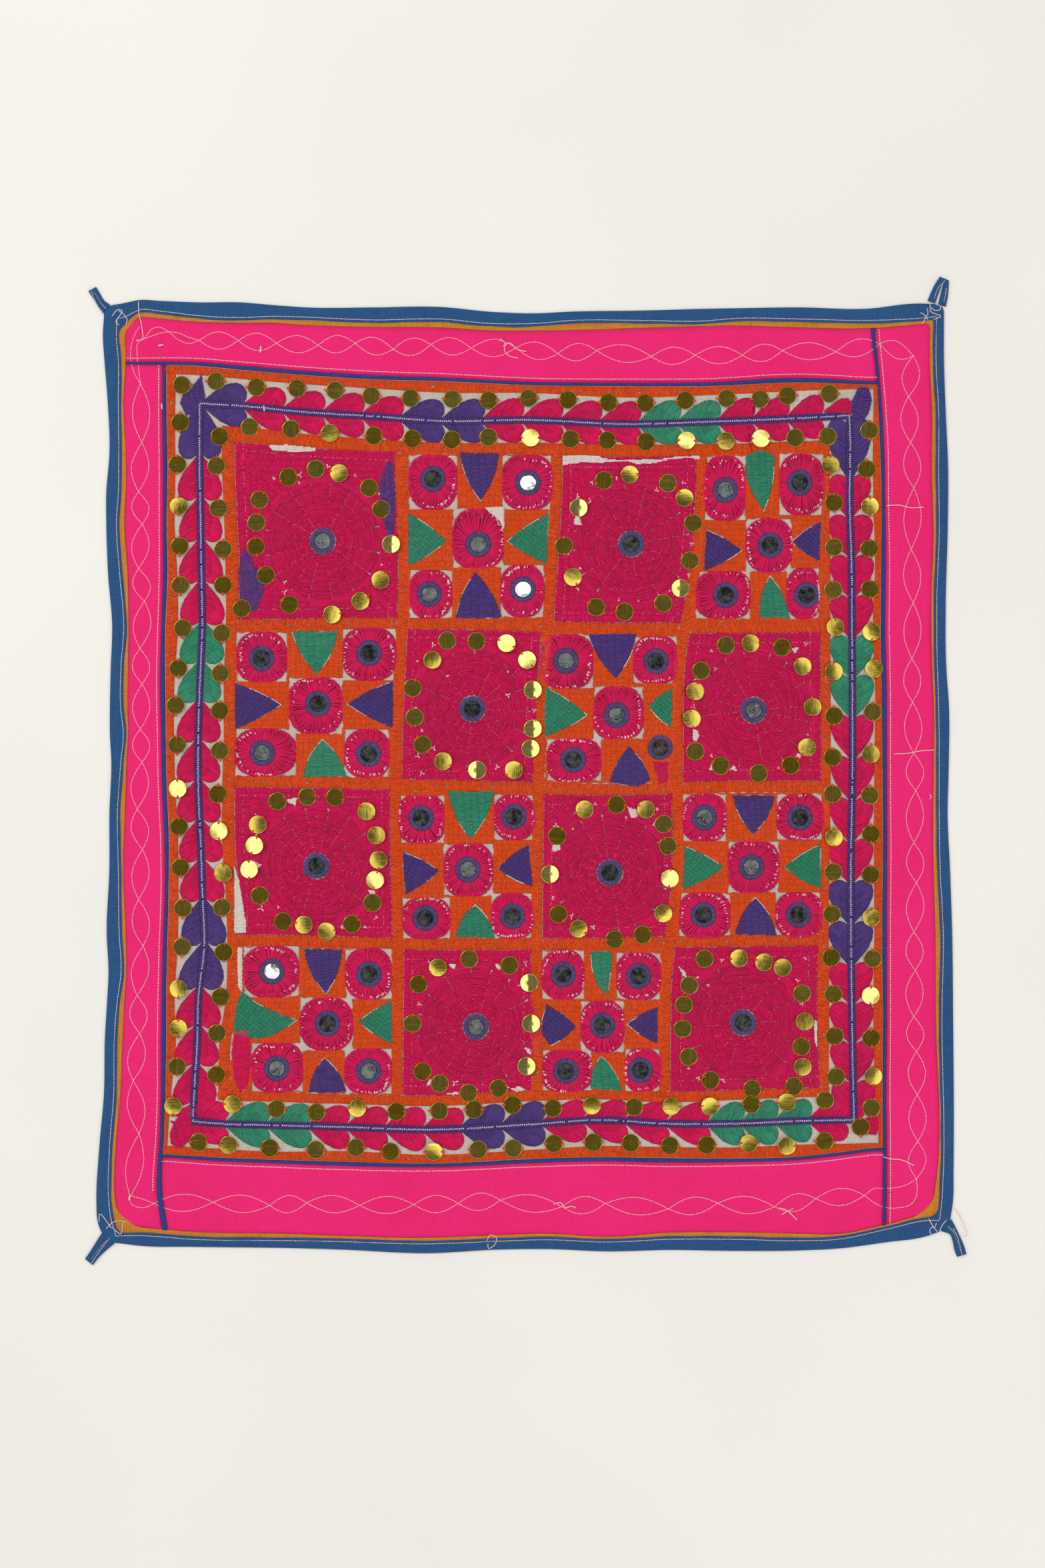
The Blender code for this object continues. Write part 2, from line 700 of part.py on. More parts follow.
def build_strips(material):
    """The four border strips, laid log-cabin fashion: each runs past the next one's end."""
    bounds = {
        "top": [side_line("top", "trim_in", STRIP_GAP), side_line("right", "pipe_in", HALF_GAP),
                side_line("top", "pipe_out", -HALF_GAP), side_line("left", "trim_in", STRIP_GAP)],
        "right": [side_line("top", "trim_in", STRIP_GAP), side_line("right", "trim_in", STRIP_GAP),
                  side_line("bottom", "trim_in", STRIP_GAP), side_line("right", "pipe_out", -HALF_GAP)],
        "bottom": [side_line("bottom", "pipe_out", -HALF_GAP), side_line("right", "pipe_in", HALF_GAP),
                   side_line("bottom", "trim_in", STRIP_GAP), side_line("left", "pipe_in", HALF_GAP)],
        "left": [side_line("top", "pipe_in", HALF_GAP), side_line("left", "pipe_out", -HALF_GAP),
                 side_line("bottom", "trim_in", STRIP_GAP), side_line("left", "trim_in", STRIP_GAP)],
    }
    for side, lines in bounds.items():
        flat = side in HORIZONTAL
        path = outline(lines)
        outer = [(x, y, strip_height(x if flat else y, 0.0)) for x, y in path]
        along = [x if flat else y for x, y in path]
        low, high = min(along) + CREST_MARGIN, max(along) - CREST_MARGIN
        crest = side_line(side, ("trim_in", "pipe_out", MIDDLE))
        stations = np.linspace(low, high, round((high - low) / CREST_STEP))
        middle = [(*on_line(crest, at), strip_height(at, 1.0)) for at in stations]
        sheet(f"border_{side}", outer, material, lines=[middle])


def strip_height(at, share):
    """The soft unevenness of a strip: it lies a little higher along its middle, more in places."""
    wave = math.sin(at / STRIP_SHORT_WAVE) * math.cos(at / STRIP_LONG_WAVE)
    return STRIP_Z + share * STRIP_WAVE * (1.0 + wave)


def build_piping(material):
    """The rolled piping between panel and strips. Its four arms meet like a pinwheel."""
    arms = [
        side_line("top", "pipe_out", HALF_GAP),
        side_line("right", "pipe_in", -HALF_GAP),
        side_line("top", "trim_in", HALF_GAP),
        side_line("right", "pipe_out", HALF_GAP),
        side_line("bottom", "trim_in", HALF_GAP),
        side_line("right", "pipe_in", -HALF_GAP),
        side_line("bottom", "pipe_out", HALF_GAP),
        side_line("left", "pipe_in", -HALF_GAP),
        side_line("bottom", "trim_in", HALF_GAP),
        side_line("left", "pipe_out", HALF_GAP),
        side_line("top", "pipe_in", -HALF_GAP),
        side_line("left", "trim_in", HALF_GAP),
    ]
    outer = raised(outline(arms), PIPING_EDGE_Z)
    hole = raised(ring("pipe_in", -HALF_GAP), PIPING_EDGE_Z)
    crest = raised(ring(("pipe_out", "pipe_in", MIDDLE)), PIPING_TOP_Z)
    sheet("piping", outer, material, holes=[hole], loops=[crest])


def build_trim(material):
    outer = raised(ring("binding_in", HALF_GAP), TRIM_Z)
    hole = raised(ring("trim_in", -HALF_GAP), TRIM_Z)
    sheet("trim", outer, material, holes=[hole])


def build_binding(material):
    outer = raised(ring("edge", 0.0, EDGE_ROUNDING), BINDING_EDGE_Z)
    hole = raised(ring("binding_in", -HALF_GAP), BINDING_EDGE_Z)
    crest = raised(ring(("edge", "binding_in", CREST_SHARE)), BINDING_TOP_Z)
    sheet("binding", outer, material, holes=[hole], loops=[crest])


def build_loop(name, stations, material):
    """A tape folded back on itself: two legs with a slit between them, joined at the tip."""
    left = [(row[0], row[1]) for row in stations]
    right = [(row[2], row[3]) for row in stations]
    slit = {-1: [], 1: []}
    for n, (x0, y0, x1, y1) in enumerate(stations[:-1]):
        share = n / (len(stations) - 2)
        half = 0.5 * (SLIT_START[name] * (1 - share) + SLIT_STOP * share) / math.hypot(x1 - x0, y1 - y0)
        for hand in (-1, 1):
            slit[hand].append(((x0 + x1) / 2 + hand * half * (x1 - x0), (y0 + y1) / 2 + hand * half * (y1 - y0)))
    path = left + right[::-1] + slit[1] + slit[-1][::-1]
    sheet(f"loop_{name}", raised(path, LOOP_Z), material)


def build_mirror(name, centre, material):
    shape = bmesh.new()
    low = WELL_FLOOR_Z + MIRROR_GAP
    rings = []
    for height in (low, low + MIRROR_THICK):
        path = polygon_round(centre, MIRROR_RADIUS, ROUND_SIDES)
        rings.append([shape.verts.new((x * MM, y * MM, height * MM)) for x, y in path])
    shape.faces.new(rings[0])
    shape.faces.new(rings[1])
    for i in range(ROUND_SIDES):
        after = (i + 1) % ROUND_SIDES
        shape.faces.new((rings[0][i], rings[0][after], rings[1][after], rings[1][i]))
    bmesh.ops.recalc_face_normals(shape, faces=shape.faces)
    finished(name, shape, material)


def main():
    clear_scene()
    finish = materials()
    build_panel(finish["panel"])
    build_strips(finish["strip"])
    build_piping(finish["piping"])
    build_trim(finish["trim"])
    build_binding(finish["binding"])
    for name, stations in LOOPS.items():
        build_loop(name, stations, finish["loop"])
    for name, centre in all_mirrors().items():
        build_mirror(name, centre, finish["mirror"])


main()
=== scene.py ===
"""The looks of the mirror work tapestry: its cloths, its embroidery strand by strand, mirrors,
sequins and machine stitches, with the floor, the light and the camera. Tables and lengths are in
millimetres, heights are above the back of the cloth, and +Y is the top of the face."""

import math

import bpy
import numpy as np
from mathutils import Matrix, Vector

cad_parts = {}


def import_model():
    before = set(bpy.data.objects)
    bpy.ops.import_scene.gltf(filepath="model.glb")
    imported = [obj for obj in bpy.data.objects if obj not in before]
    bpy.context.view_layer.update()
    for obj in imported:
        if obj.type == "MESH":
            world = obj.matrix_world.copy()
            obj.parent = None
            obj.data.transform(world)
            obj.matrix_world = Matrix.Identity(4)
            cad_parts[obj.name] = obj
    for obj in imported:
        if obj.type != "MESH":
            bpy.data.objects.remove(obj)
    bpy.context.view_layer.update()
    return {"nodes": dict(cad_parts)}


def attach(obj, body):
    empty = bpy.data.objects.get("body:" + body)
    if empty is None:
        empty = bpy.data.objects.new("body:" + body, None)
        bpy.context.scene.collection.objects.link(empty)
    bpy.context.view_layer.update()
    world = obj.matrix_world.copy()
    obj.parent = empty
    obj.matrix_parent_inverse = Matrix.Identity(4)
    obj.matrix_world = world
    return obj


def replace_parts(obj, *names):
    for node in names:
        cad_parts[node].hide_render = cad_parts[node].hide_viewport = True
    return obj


MM = 0.001
TURN = 2 * math.pi
# A few marks are kept as the photograph's pixels: this pixel lies over the origin, and one is PX wide.
PHOTO_X, PHOTO_Y = 788.9, 1156.4
PHOTO_WIDE, PHOTO_TALL = 1568, 2352
PX = 0.73

# Half of the gap between two neighbouring pieces, and the strips' gap to the trim.
HALF_GAP = 0.16
STRIP_GAP = 0.3
# Radius of the rings round the mirrors, half the width of the vine, and the bars' width.
RING_RADIUS = 15.5
VINE_HALF = 2.9
BAR_WIDTH = 12.5

# Outer edge of the binding at stations along each side, with the binding's and the trim's width
# there. at: along the side; edge: across it; binding, trim: widths.
RIM = {
    "top": [
        (-459, 509, 17, 1.6), (-441, 512, 19.5, 1.6), (-423, 515.6, 14.6, 4.6), (-400, 514.6, 15, 4.5),
        (-357, 513, 18.5, 3), (-313, 513, 20.5, 2), (-276, 510, 16, 3.5), (-240, 507.5, 14.5, 5),
        (-167, 507.5, 17.5, 4), (-94, 508, 17, 5.5), (-35, 502.5, 16.5, 4), (8, 501, 15, 4),
        (52, 503, 13.5, 7), (125, 504, 14.5, 4.5), (198, 506, 17, 2), (227, 506.5, 15, 4),
        (300, 507.5, 16.5, 5.5), (373, 506, 16.5, 5), (430, 511.8, 20, 3), (452, 511, 17, 3),
    ],
    "bottom": [
        (-448, -516.8, 11.5, 7.5), (-421, -520, 15, 5), (-365, -521, 12, 4.5), (-253, -522.5, 12, 3.5),
        (-203, -524, 12.5, 2.5), (-108, -528, 14, 3), (-28, -524, 13, 3), (22, -523.5, 14, 3),
        (90, -526, 14, 2), (157, -524.5, 15.5, 3.5), (227, -525.5, 16.5, 4), (300, -525, 14.5, 4),
        (341, -523, 14, 2), (395, -516, 18, 1.5), (439, -509.4, 21, 2.5), (457, -503, 15, 3.5),
    ],
    "right": [
        (501, 458, 11.5, 3.5), (450, 458, 12.5, 3), (391, 460, 11.5, 3.5), (333, 462.5, 14, 4),
        (260, 462, 13, 2.5), (187, 460, 13.5, 2.5), (114, 460.5, 13.5, 2), (70, 463.5, 15, 1.6),
        (-3, 463, 14, 2.5), (-47, 462, 13, 3), (-105, 464.5, 14.5, 3.5), (-178, 467, 13.5, 5),
        (-265, 468, 16, 3), (-440, 468.5, 15, 3), (-470, 468, 16, 5.5), (-492, 464.8, 15.5, 6.5),
    ],
    "left": [
        (497, -462, 18.5, 6), (478, -463.2, 18.5, 6), (450, -461.5, 19, 4.5), (406, -458, 15.5, 2),
        (348, -456, 14, 4), (304, -459.5, 17, 4.5), (275, -459.5, 15, 5), (216, -457.5, 16.5, 5),
        (158, -453, 16.5, 1.6), (114, -454.5, 15, 4), (70, -455.5, 15.5, 4), (41, -455.5, 18.5, 1.6),
        (12, -454, 14.5, 2.5), (-47, -456, 12.5, 4.5), (-105, -456, 13.5, 1.6), (-178, -459, 17.5, 3.5),
        (-221, -457, 17.5, 2), (-251, -458.5, 15, 4), (-294, -461, 14, 5.5), (-353, -462, 14.5, 3.5),
        (-411, -467, 15, 3), (-473, -470.2, 17.5, 3.5), (-493, -469, 19, 5), (-506, -465, 19.5, 5.5),
    ],
}
# Lines inside the rim. at: along the side; the rest across it: the piping's outer and inner edge,
# the outer band's inner edge, the vine, and the inner bar's outer edge and its edge to the blocks.
SEAMS = {
    "top": [
        (-430, 447.5, 445, 434, 404, 380, 362), (-357, 447, 443.5, 433, 402, 379, 361),
        (-313, 443.5, 439.5, 429, 399.5, 377, 359.5), (-240, 437.5, 433.5, 423, 392.5, 369, 353.5),
        (-167, 433, 429, 418.5, 388, 363.5, 349.5), (-94, 430.5, 427, 414, 383, 359.5, 348),
        (8, 425.5, 422.5, 413.5, 384, 359.5, 346.5), (110, 424.5, 421.5, 408.5, 379.5, 357.5, 343),
        (198, 425, 421.5, 411, 382, 358, 345.5), (300, 430, 425.5, 416, 386, 361, 349),
        (373, 426.5, 423.5, 418.5, 390, 364, 352),
    ],
    "bottom": [
        (-393, -423, -420, -410, -380, -353, -341.5), (-335, -427, -423.5, -413.5, -386, -360.5, -348.5),
        (-284, -429, -425.5, -416.5, -387.5, -362, -351), (-203, -432, -428, -416, -389.5, -364.5, -354),
        (-101, -433.5, -430, -420, -392.5, -367, -355), (8, -429, -425, -414.5, -386.5, -361.5, -349.5),
        (81, -427, -423, -410.5, -382, -359.5, -349.5), (154, -428.5, -424, -411.5, -386, -363, -351),
        (227, -428, -424.5, -412, -386, -360.5, -349), (300, -425.5, -422.5, -409, -383, -357.5, -347),
        (380, -416, -413, -407.5, -381.5, -356, -345),
    ],
    "right": [
        (479, 382.5, 378.5, 374, 350, 327, 318), (421, 388, 385, 381, 352.5, 329.5, 320.5),
        (362, 392, 388, 380, 355, 332.5, 325.5), (289, 393, 390, 380.5, 354.5, 332.5, 324),
        (231, 394, 389.5, 382.5, 356.5, 333.5, 322.5), (158, 393.5, 389, 380, 357, 333.5, 322.5),
        (85, 395, 390, 382.5, 357.5, 334, 322.5), (-3, 395, 391, 381.5, 357.5, 334, 323.5),
        (-90, 395.5, 391.5, 381, 356, 333, 323.5), (-178, 395, 390.5, 381.5, 356, 332, 320),
        (-265, 395, 391.5, 380.5, 357, 332.5, 319), (-353, 394.5, 391, 382.5, 358.5, 332, 322),
        (-411, 395, 391.5, 387, 360, 333.5, 322.5), (-500, 394.5, 391, 387, 360, 333.5, 322.5),
    ],
    "left": [
        (447, -397.5, -394, -382.5, -357, -332, -319), (377, -397.5, -393.5, -384, -357, -333, -319),
        (333, -397, -392.5, -383.5, -357, -333, -318.5), (275, -397, -393.5, -384.5, -356, -330.5, -316),
        (216, -397, -392.5, -381.5, -355, -329, -313.5), (158, -398.5, -395, -380.5, -354, -328.5, -316),
        (99, -400, -395, -384.5, -356.5, -331, -317.5), (41, -399, -394.5, -385, -358.5, -331, -316.5),
        (-17, -398, -393.5, -383.5, -358.5, -332.5, -318.5),
        (-75, -395.5, -391, -380.5, -356, -333, -318.5), (-134, -395, -391.5, -380, -354, -329, -314.5),
        (-192, -397, -393, -381, -352, -327, -314.5), (-251, -398.5, -394, -384.5, -358.5, -329, -314.5),
        (-294, -399, -394, -383, -359.5, -335.5, -322.5), (-353, -399, -395, -388.5, -363, -337, -324),
        (-397, -400.5, -396.5, -392, -365, -338.5, -325.5), (-463, -403.5, -398, -393, -366, -339, -326),
        (-500, -398.5, -392.5, -388, -366, -339, -326),
    ],
}
SEAM_COLUMNS = ("pipe_out", "pipe_in", "band_in", "vine", "bar_out", "bar_in")
# Centre lines of the bars between the blocks. at: along the bar; centre: across it.
COLUMN_BARS = [
    [(334, -137), (194, -133.5), (117, -138), (-24, -142.5), (-199, -140), (-324, -141)],
    [(304, 33.5), (194, 26.5), (42, 16), (-68, 13), (-145, 12), (-324, 13)],
    [(304, 192.5), (194, 181.5), (117, 168), (23, 166), (-134, 164.5), (-221, 154), (-324, 152)],
]
ROW_BARS = [
    [(-280, 160), (-103, 161.5), (101, 156), (231, 157), (322, 158)],
    [(-280, -12), (-65, -16.5), (101, -20.5), (231, -17), (322, -17)],
    [(-287, -185), (-65, -190), (64, -189), (227, -186), (322, -185)],
]
# Centres of the blocks with a round flower, by row and column.
FLOWERS = {
    (1, 1): (-222.5, 251.5),
    (1, 3): (115.5, 248.5),
    (2, 2): (-58.5, 68),
    (2, 4): (249.5, 66.5),
    (3, 1): (-229, -104),
    (3, 3): (92, -111.5),
    (4, 2): (-54.5, -280),
    (4, 4): (238, -275.5),
}
# Mirrors of the blocks with five eyelets, by row and column: top left, top right, centre,
# bottom left, bottom right.
EYELETS = {
    (1, 2): ((-101.5, 319.5), (2.5, 315.5), (-52, 248), (-105.5, 193.5), (-3, 199)),
    (1, 4): ((218.5, 307.5), (300, 315.5), (267.5, 247), (219, 192.5), (307.5, 192.5)),
    (2, 1): ((-289, 123), (-171.5, 129), (-227.5, 73.5), (-288.5, 19.5), (-172, 18.5)),
    (2, 3): ((44, 120.5), (142.5, 120), (99.5, 61), (52, 12), (147, 25.5)),
    (3, 2): ((-114.5, -51.5), (-13, -50), (-63.5, -108), (-110, -161), (-14.5, -159)),
    (3, 4): ((195.5, -51), (300, -51), (247, -105), (194.5, -157.5), (298.5, -157.5)),
    (4, 1): ((-278, -219.5), (-171.5, -222.5), (-217, -276.5), (-272.5, -325.5), (-172, -328.5)),
    (4, 3): ((41, -222.5), (123.5, -224.5), (84, -278.5), (44, -328.5), (125.5, -327.5)),
}
EYELET_NAMES = ("tl", "tr", "mid", "bl", "br")
WITHOUT_EYELET = [(147, 25.5)]
# Edges of the eyelets in the same order, as pixels of the photograph: left, right, top, bottom.
EYELET_EDGES = {
    (1, 2): (
        (611.5, 688, 681, 766), (752, 831, 681, 766), (678, 757, 762, 853), (613, 680, 854, 929),
        (750, 817, 846, 927),
    ),
    (1, 4): (
        (1055, 1119, 683, 782), (1168, 1238, 680, 774), (1117, 1190, 777, 860), (1042, 1127, 856, 929),
        (1179, 1229, 851, 929),
    ),
    (2, 1): (
        (354, 432, 947, 1024), (513, 596, 941, 1022), (432, 515, 1016, 1102), (351, 446, 1092, 1165),
        (516, 586, 1093, 1168),
    ),
    (2, 3): (
        (811, 891, 951, 1034), (949, 1018, 953, 1026), (889, 967, 1029, 1110), (820, 903, 1107, 1174),
        (955, 1022, 1090, 1150),
    ),
    (3, 2): (
        (597, 668, 1192, 1266), (740, 804, 1191, 1261), (665, 741, 1264, 1346), (603, 677, 1346, 1409),
        (736, 801, 1339, 1409),
    ),
    (3, 4): (
        (1022, 1091, 1190, 1263), (1164, 1237, 1190, 1261), (1091, 1170, 1260, 1340),
        (1018, 1097, 1338, 1409), (1162, 1236, 1337, 1408),
    ),
    (4, 1): (
        (364, 450, 1418, 1497), (517, 589, 1421, 1500), (449, 531, 1495, 1577), (377, 456, 1563, 1639),
        (516, 589, 1572, 1642),
    ),
    (4, 3): (
        (811, 878, 1424, 1500), (924, 993, 1428, 1500), (870, 938, 1500, 1580), (812, 889, 1574, 1638),
        (937, 994, 1572, 1638),
    ),
}
# Triangles of the same blocks, as pixels of the photograph: top, right, bottom, left. Three points
# are the two corners on the block's edge and the tip, more are the whole outline.
WEDGES = {
    (1, 2): (
        ((690, 680), (749, 680), (721, 752)), ((823, 771), (820, 845), (761, 812)),
        ((684, 927), (753, 927), (713.5, 858.5)), ((613, 770), (613, 849), (670, 812)),
    ),
    (1, 4): (
        ((1118, 684), (1140, 674), (1162, 684), (1160, 718), (1155, 742), (1146, 767), (1130, 742),
         (1120, 718)),
        ((1232, 783), (1229, 841), (1188, 813)), ((1140, 927), (1185, 927), (1155, 864)),
        ((1059, 795), (1057, 856), (1113, 826)),
    ),
    (2, 1): (
        ((438, 947), (507, 947), (476, 1011)), ((590, 1022), (590, 1092), (521, 1056)),
        ((455, 1165), (521, 1165), (484, 1109)), ((353, 1025), (353, 1093), (422, 1057)),
    ),
    (2, 3): (
        ((883, 951), (955, 951), (924, 1017)), ((1009, 1033), (1007, 1091), (973, 1060)),
        ((914, 1173), (935, 1177), (957, 1180), (976, 1170), (964, 1142), (944, 1120), (926, 1142)),
        ((817, 1030), (817, 1105), (881, 1073)),
    ),
    (3, 2): (
        ((672, 1187), (742, 1187), (706, 1259)), ((794, 1267), (799, 1330), (747, 1303)),
        ((684, 1405), (743, 1407), (713, 1357)), ((604, 1278), (609, 1341), (659, 1306)),
    ),
    (3, 4): (
        ((1099, 1192), (1163, 1194), (1130, 1251)), ((1230, 1267), (1231, 1333), (1177, 1301)),
        ((1103, 1402), (1165, 1402), (1133, 1346)), ((1026, 1269), (1025, 1334), (1086, 1301)),
    ),
    (4, 1): (
        ((456, 1423), (514, 1425), (489, 1491)), ((588, 1502), (588, 1565), (538, 1532)),
        ((464, 1639), (520, 1637), (487, 1586)),
        ((364, 1487), (386, 1505), (420, 1521), (446, 1530), (422, 1546), (405, 1555), (381, 1558),
         (352, 1551), (352, 1520), (355, 1505)),
    ),
    (4, 3): (
        ((886, 1427), (888, 1452), (897, 1479), (912, 1493), (915, 1467), (918, 1448), (918, 1427)),
        ((987, 1511), (986, 1565), (941, 1536)), ((886, 1632), (933, 1636), (902, 1584)),
        ((820, 1506), (813, 1530), (813, 1550), (825, 1569), (848, 1556), (864, 1539), (844, 1521)),
    ),
}
# How far the sides of those triangles bow outwards, in the order of their places.
WEDGE_BOW = (4.0, 2.0, 4.0, 2.0)
# Blocks whose upper and lower triangles are purple and the others green. Elsewhere it is reversed.
PURPLE_FIRST = ((1, 2), (2, 3), (3, 4), (4, 1))
# Patches where the bare cloth shows between the stitches, as pixels of the photograph.
BARE = (
    [(403, 669), (430, 666.5), (474, 673), (474, 677), (450, 677.5), (425, 676.5), (408, 675.5)],
    [(844, 683), (870, 684), (900, 683), (903, 686.5), (925, 690), (960, 690), (985, 689), (1020, 685.5),
     (1050, 684), (1050, 690), (1036, 687), (1000, 690), (980, 694.5), (955, 697), (940, 692), (900, 693.5),
     (878, 694), (844, 697)],
    [(863, 774), (870, 776), (873, 787), (861, 787)],
    [(352, 1300), (359, 1320), (364, 1350), (369, 1380), (370, 1398), (352, 1398)],
    [(428, 1200.5), (447, 1197), (443, 1209)], [(941, 1210), (956, 1214), (957, 1225), (947, 1226)],
    [(828, 1266), (840, 1266), (841, 1275), (829, 1276)],
    [(1040, 1093), (1047, 1096), (1049, 1103), (1045, 1112), (1040, 1109)],
    [(1018, 1449), (1029, 1459), (1031, 1467), (1025, 1464)],
    [(761, 1631), (771, 1632), (779, 1628), (789, 1634), (775, 1637)],
    [(1187, 973), (1199, 971), (1193, 981)], [(1063, 1156), (1069, 1142), (1071, 1154)],
    [(1093, 1155), (1101, 1148), (1106, 1156)], [(377, 1289), (393, 1297), (386, 1302), (376, 1297)],
    [(552, 1334), (565, 1336), (562, 1341), (556, 1340)],
    [(1221, 1528), (1226, 1532), (1226, 1572), (1222, 1560)],
    [(356, 1421), (364, 1420), (364, 1489), (357, 1480)], [(727, 762), (757, 761), (757, 796), (748, 780)],
    [(642, 1621), (648, 1617), (650, 1624), (640, 1628)],
    [(670, 1641), (686, 1637.5), (690, 1641), (680, 1643)],
    [(1196, 1130), (1203, 1132), (1200, 1137), (1194, 1135)],
    [(786, 1571), (796, 1574), (797, 1583), (791, 1579)],
    [(742, 1445), (751, 1448), (750, 1454), (745, 1453)],
    [(674, 1446), (684, 1445), (683, 1452), (676, 1451)],
    [(511, 1389), (517, 1385), (518, 1391), (513, 1394)],
)
# Small forks of bare cloth between petals, as pixels of the photograph.
FORKS = (
    (411, 718), (450, 712), (449, 724), (492, 700), (533, 714), (569, 741), (573, 847), (427, 874),
    (427, 889), (888, 724), (925, 717), (1025, 724), (985, 735), (885, 752), (866, 745), (851, 831),
    (870, 853), (867, 883), (1037, 817), (1033, 862), (1005, 886), (650, 968), (626, 992), (672, 1014),
    (763, 1043), (762, 1008), (633, 1096), (621, 1062), (651, 1122), (627, 1134), (801, 1066), (745, 1150),
    (632, 1160), (1067, 976), (1098, 965), (1209, 966), (1073, 1003), (1045, 1018), (1040, 1060),
    (1067, 1133), (1168, 1152), (1212, 1102), (385, 1224), (386, 1250), (396, 1332), (392, 1362),
    (418, 1360), (548, 1390), (556, 1362), (565, 1376), (862, 1219), (893, 1206), (986, 1214), (981, 1236),
    (834, 1238), (860, 1243), (858, 1374), (890, 1390), (830, 1346), (646, 1445), (788, 1444), (779, 1478),
    (629, 1505), (682, 1623), (715, 1636), (1046, 1466), (1062, 1478), (1083, 1441), (1197, 1471),
    (1203, 1505), (1048, 1617), (1084, 1620), (1033, 1602), (1208, 1437),
)
# Leaves along the vine: where the first run starts, then each run's end, its pairs and its colour.
LEAF_RUNS = {
    "top": [
        -352, (-307, 1, "purple"), (-135, 4, "pink"), (-46, 2, "purple"), (125, 4, "pink"),
        (212, 2, "green"), (250, 1, "pink"), (325, 2, "pink"),
    ],
    "bottom": [
        -388, (-327, 1, "pink"), (-236, 2, "green"), (-69, 4, "pink"), (20, 2, "purple"), (201, 4, "pink"),
        (312, 3, "green"), (352, 1, "pink"),
    ],
    "left": [
        398, (343, 1, "purple"), (161, 4, "pink"), (76, 2, "green"), (-142, 5, "pink"), (-238, 2, "purple"),
        (-364, 3, "pink"),
    ],
    "right": [
        -384, (-340, 1, "pink"), (-211, 3, "pink"), (-121, 2, "purple"), (60, 4, "pink"), (147, 2, "green"),
        (323, 4, "pink"), (384, 1, "purple"),
    ],
}
# Hanging loops of folded tape, at stations from the binding to the fold at the tip: left edge x
# and y, right edge x and y.
LOOPS = {
    "top_left": [
        (-463, 500.2, -455.4, 510.6), (-468.2, 508.4, -461.7, 515.1), (-473.7, 517.1, -466, 522.2),
        (-479, 525.2, -470.5, 529.8),
    ],
    "top_right": [
        (440, 514.6, 459.9, 508.1), (443.5, 523.3, 462.1, 518.6), (447.9, 532.5, 463, 527.7),
        (453.4, 541.05, 463.4, 536.7),
    ],
    "bottom_left": [
        (-464.5, -506.2, -450.2, -517.2), (-470.8, -516, -459.5, -524.9), (-476.5, -525.2, -466.8, -531.9),
        (-482.55, -534, -474.2, -541.05),
    ],
    "bottom_right": [
        (455.1, -504, 466.3, -490.9), (464.4, -507.4, 471.3, -500.7), (467.6, -515.5, 476, -510.7),
        (469.5, -524.6, 479.9, -519.6), (472.4, -531.9, 482.55, -528.7),
    ],
}
# Width of the slit between a loop's two legs, where it starts and near the fold.
SLIT_START = {"top_left": 1.0, "top_right": 3.4, "bottom_left": 1.0, "bottom_right": 1.0}
SLIT_STOP = 0.7

# The pinched tuck across the top of the panel: its line, how high and wide its ridge is, and how far
# beside the ridge its painted shadow lies, drawn as a line of dark strands.
TUCK = [(247.5, 413), (248.3, 402), (243.2, 365), (246, 348)]
TUCK_HIGH, TUCK_WIDE, TUCK_SHADE = 1.6, 1.3, 1.3

# Corner rounding of each line: top left, top right, bottom right, bottom left.
EDGE_ROUNDING = (8.5, 8.5, 13.0, 16.0)
BINDING_ROUNDING = (16.0, 2.0, 10.0, 5.0)
TRIM_ROUNDING = (16.0, 5.0, 22.0, 24.0)

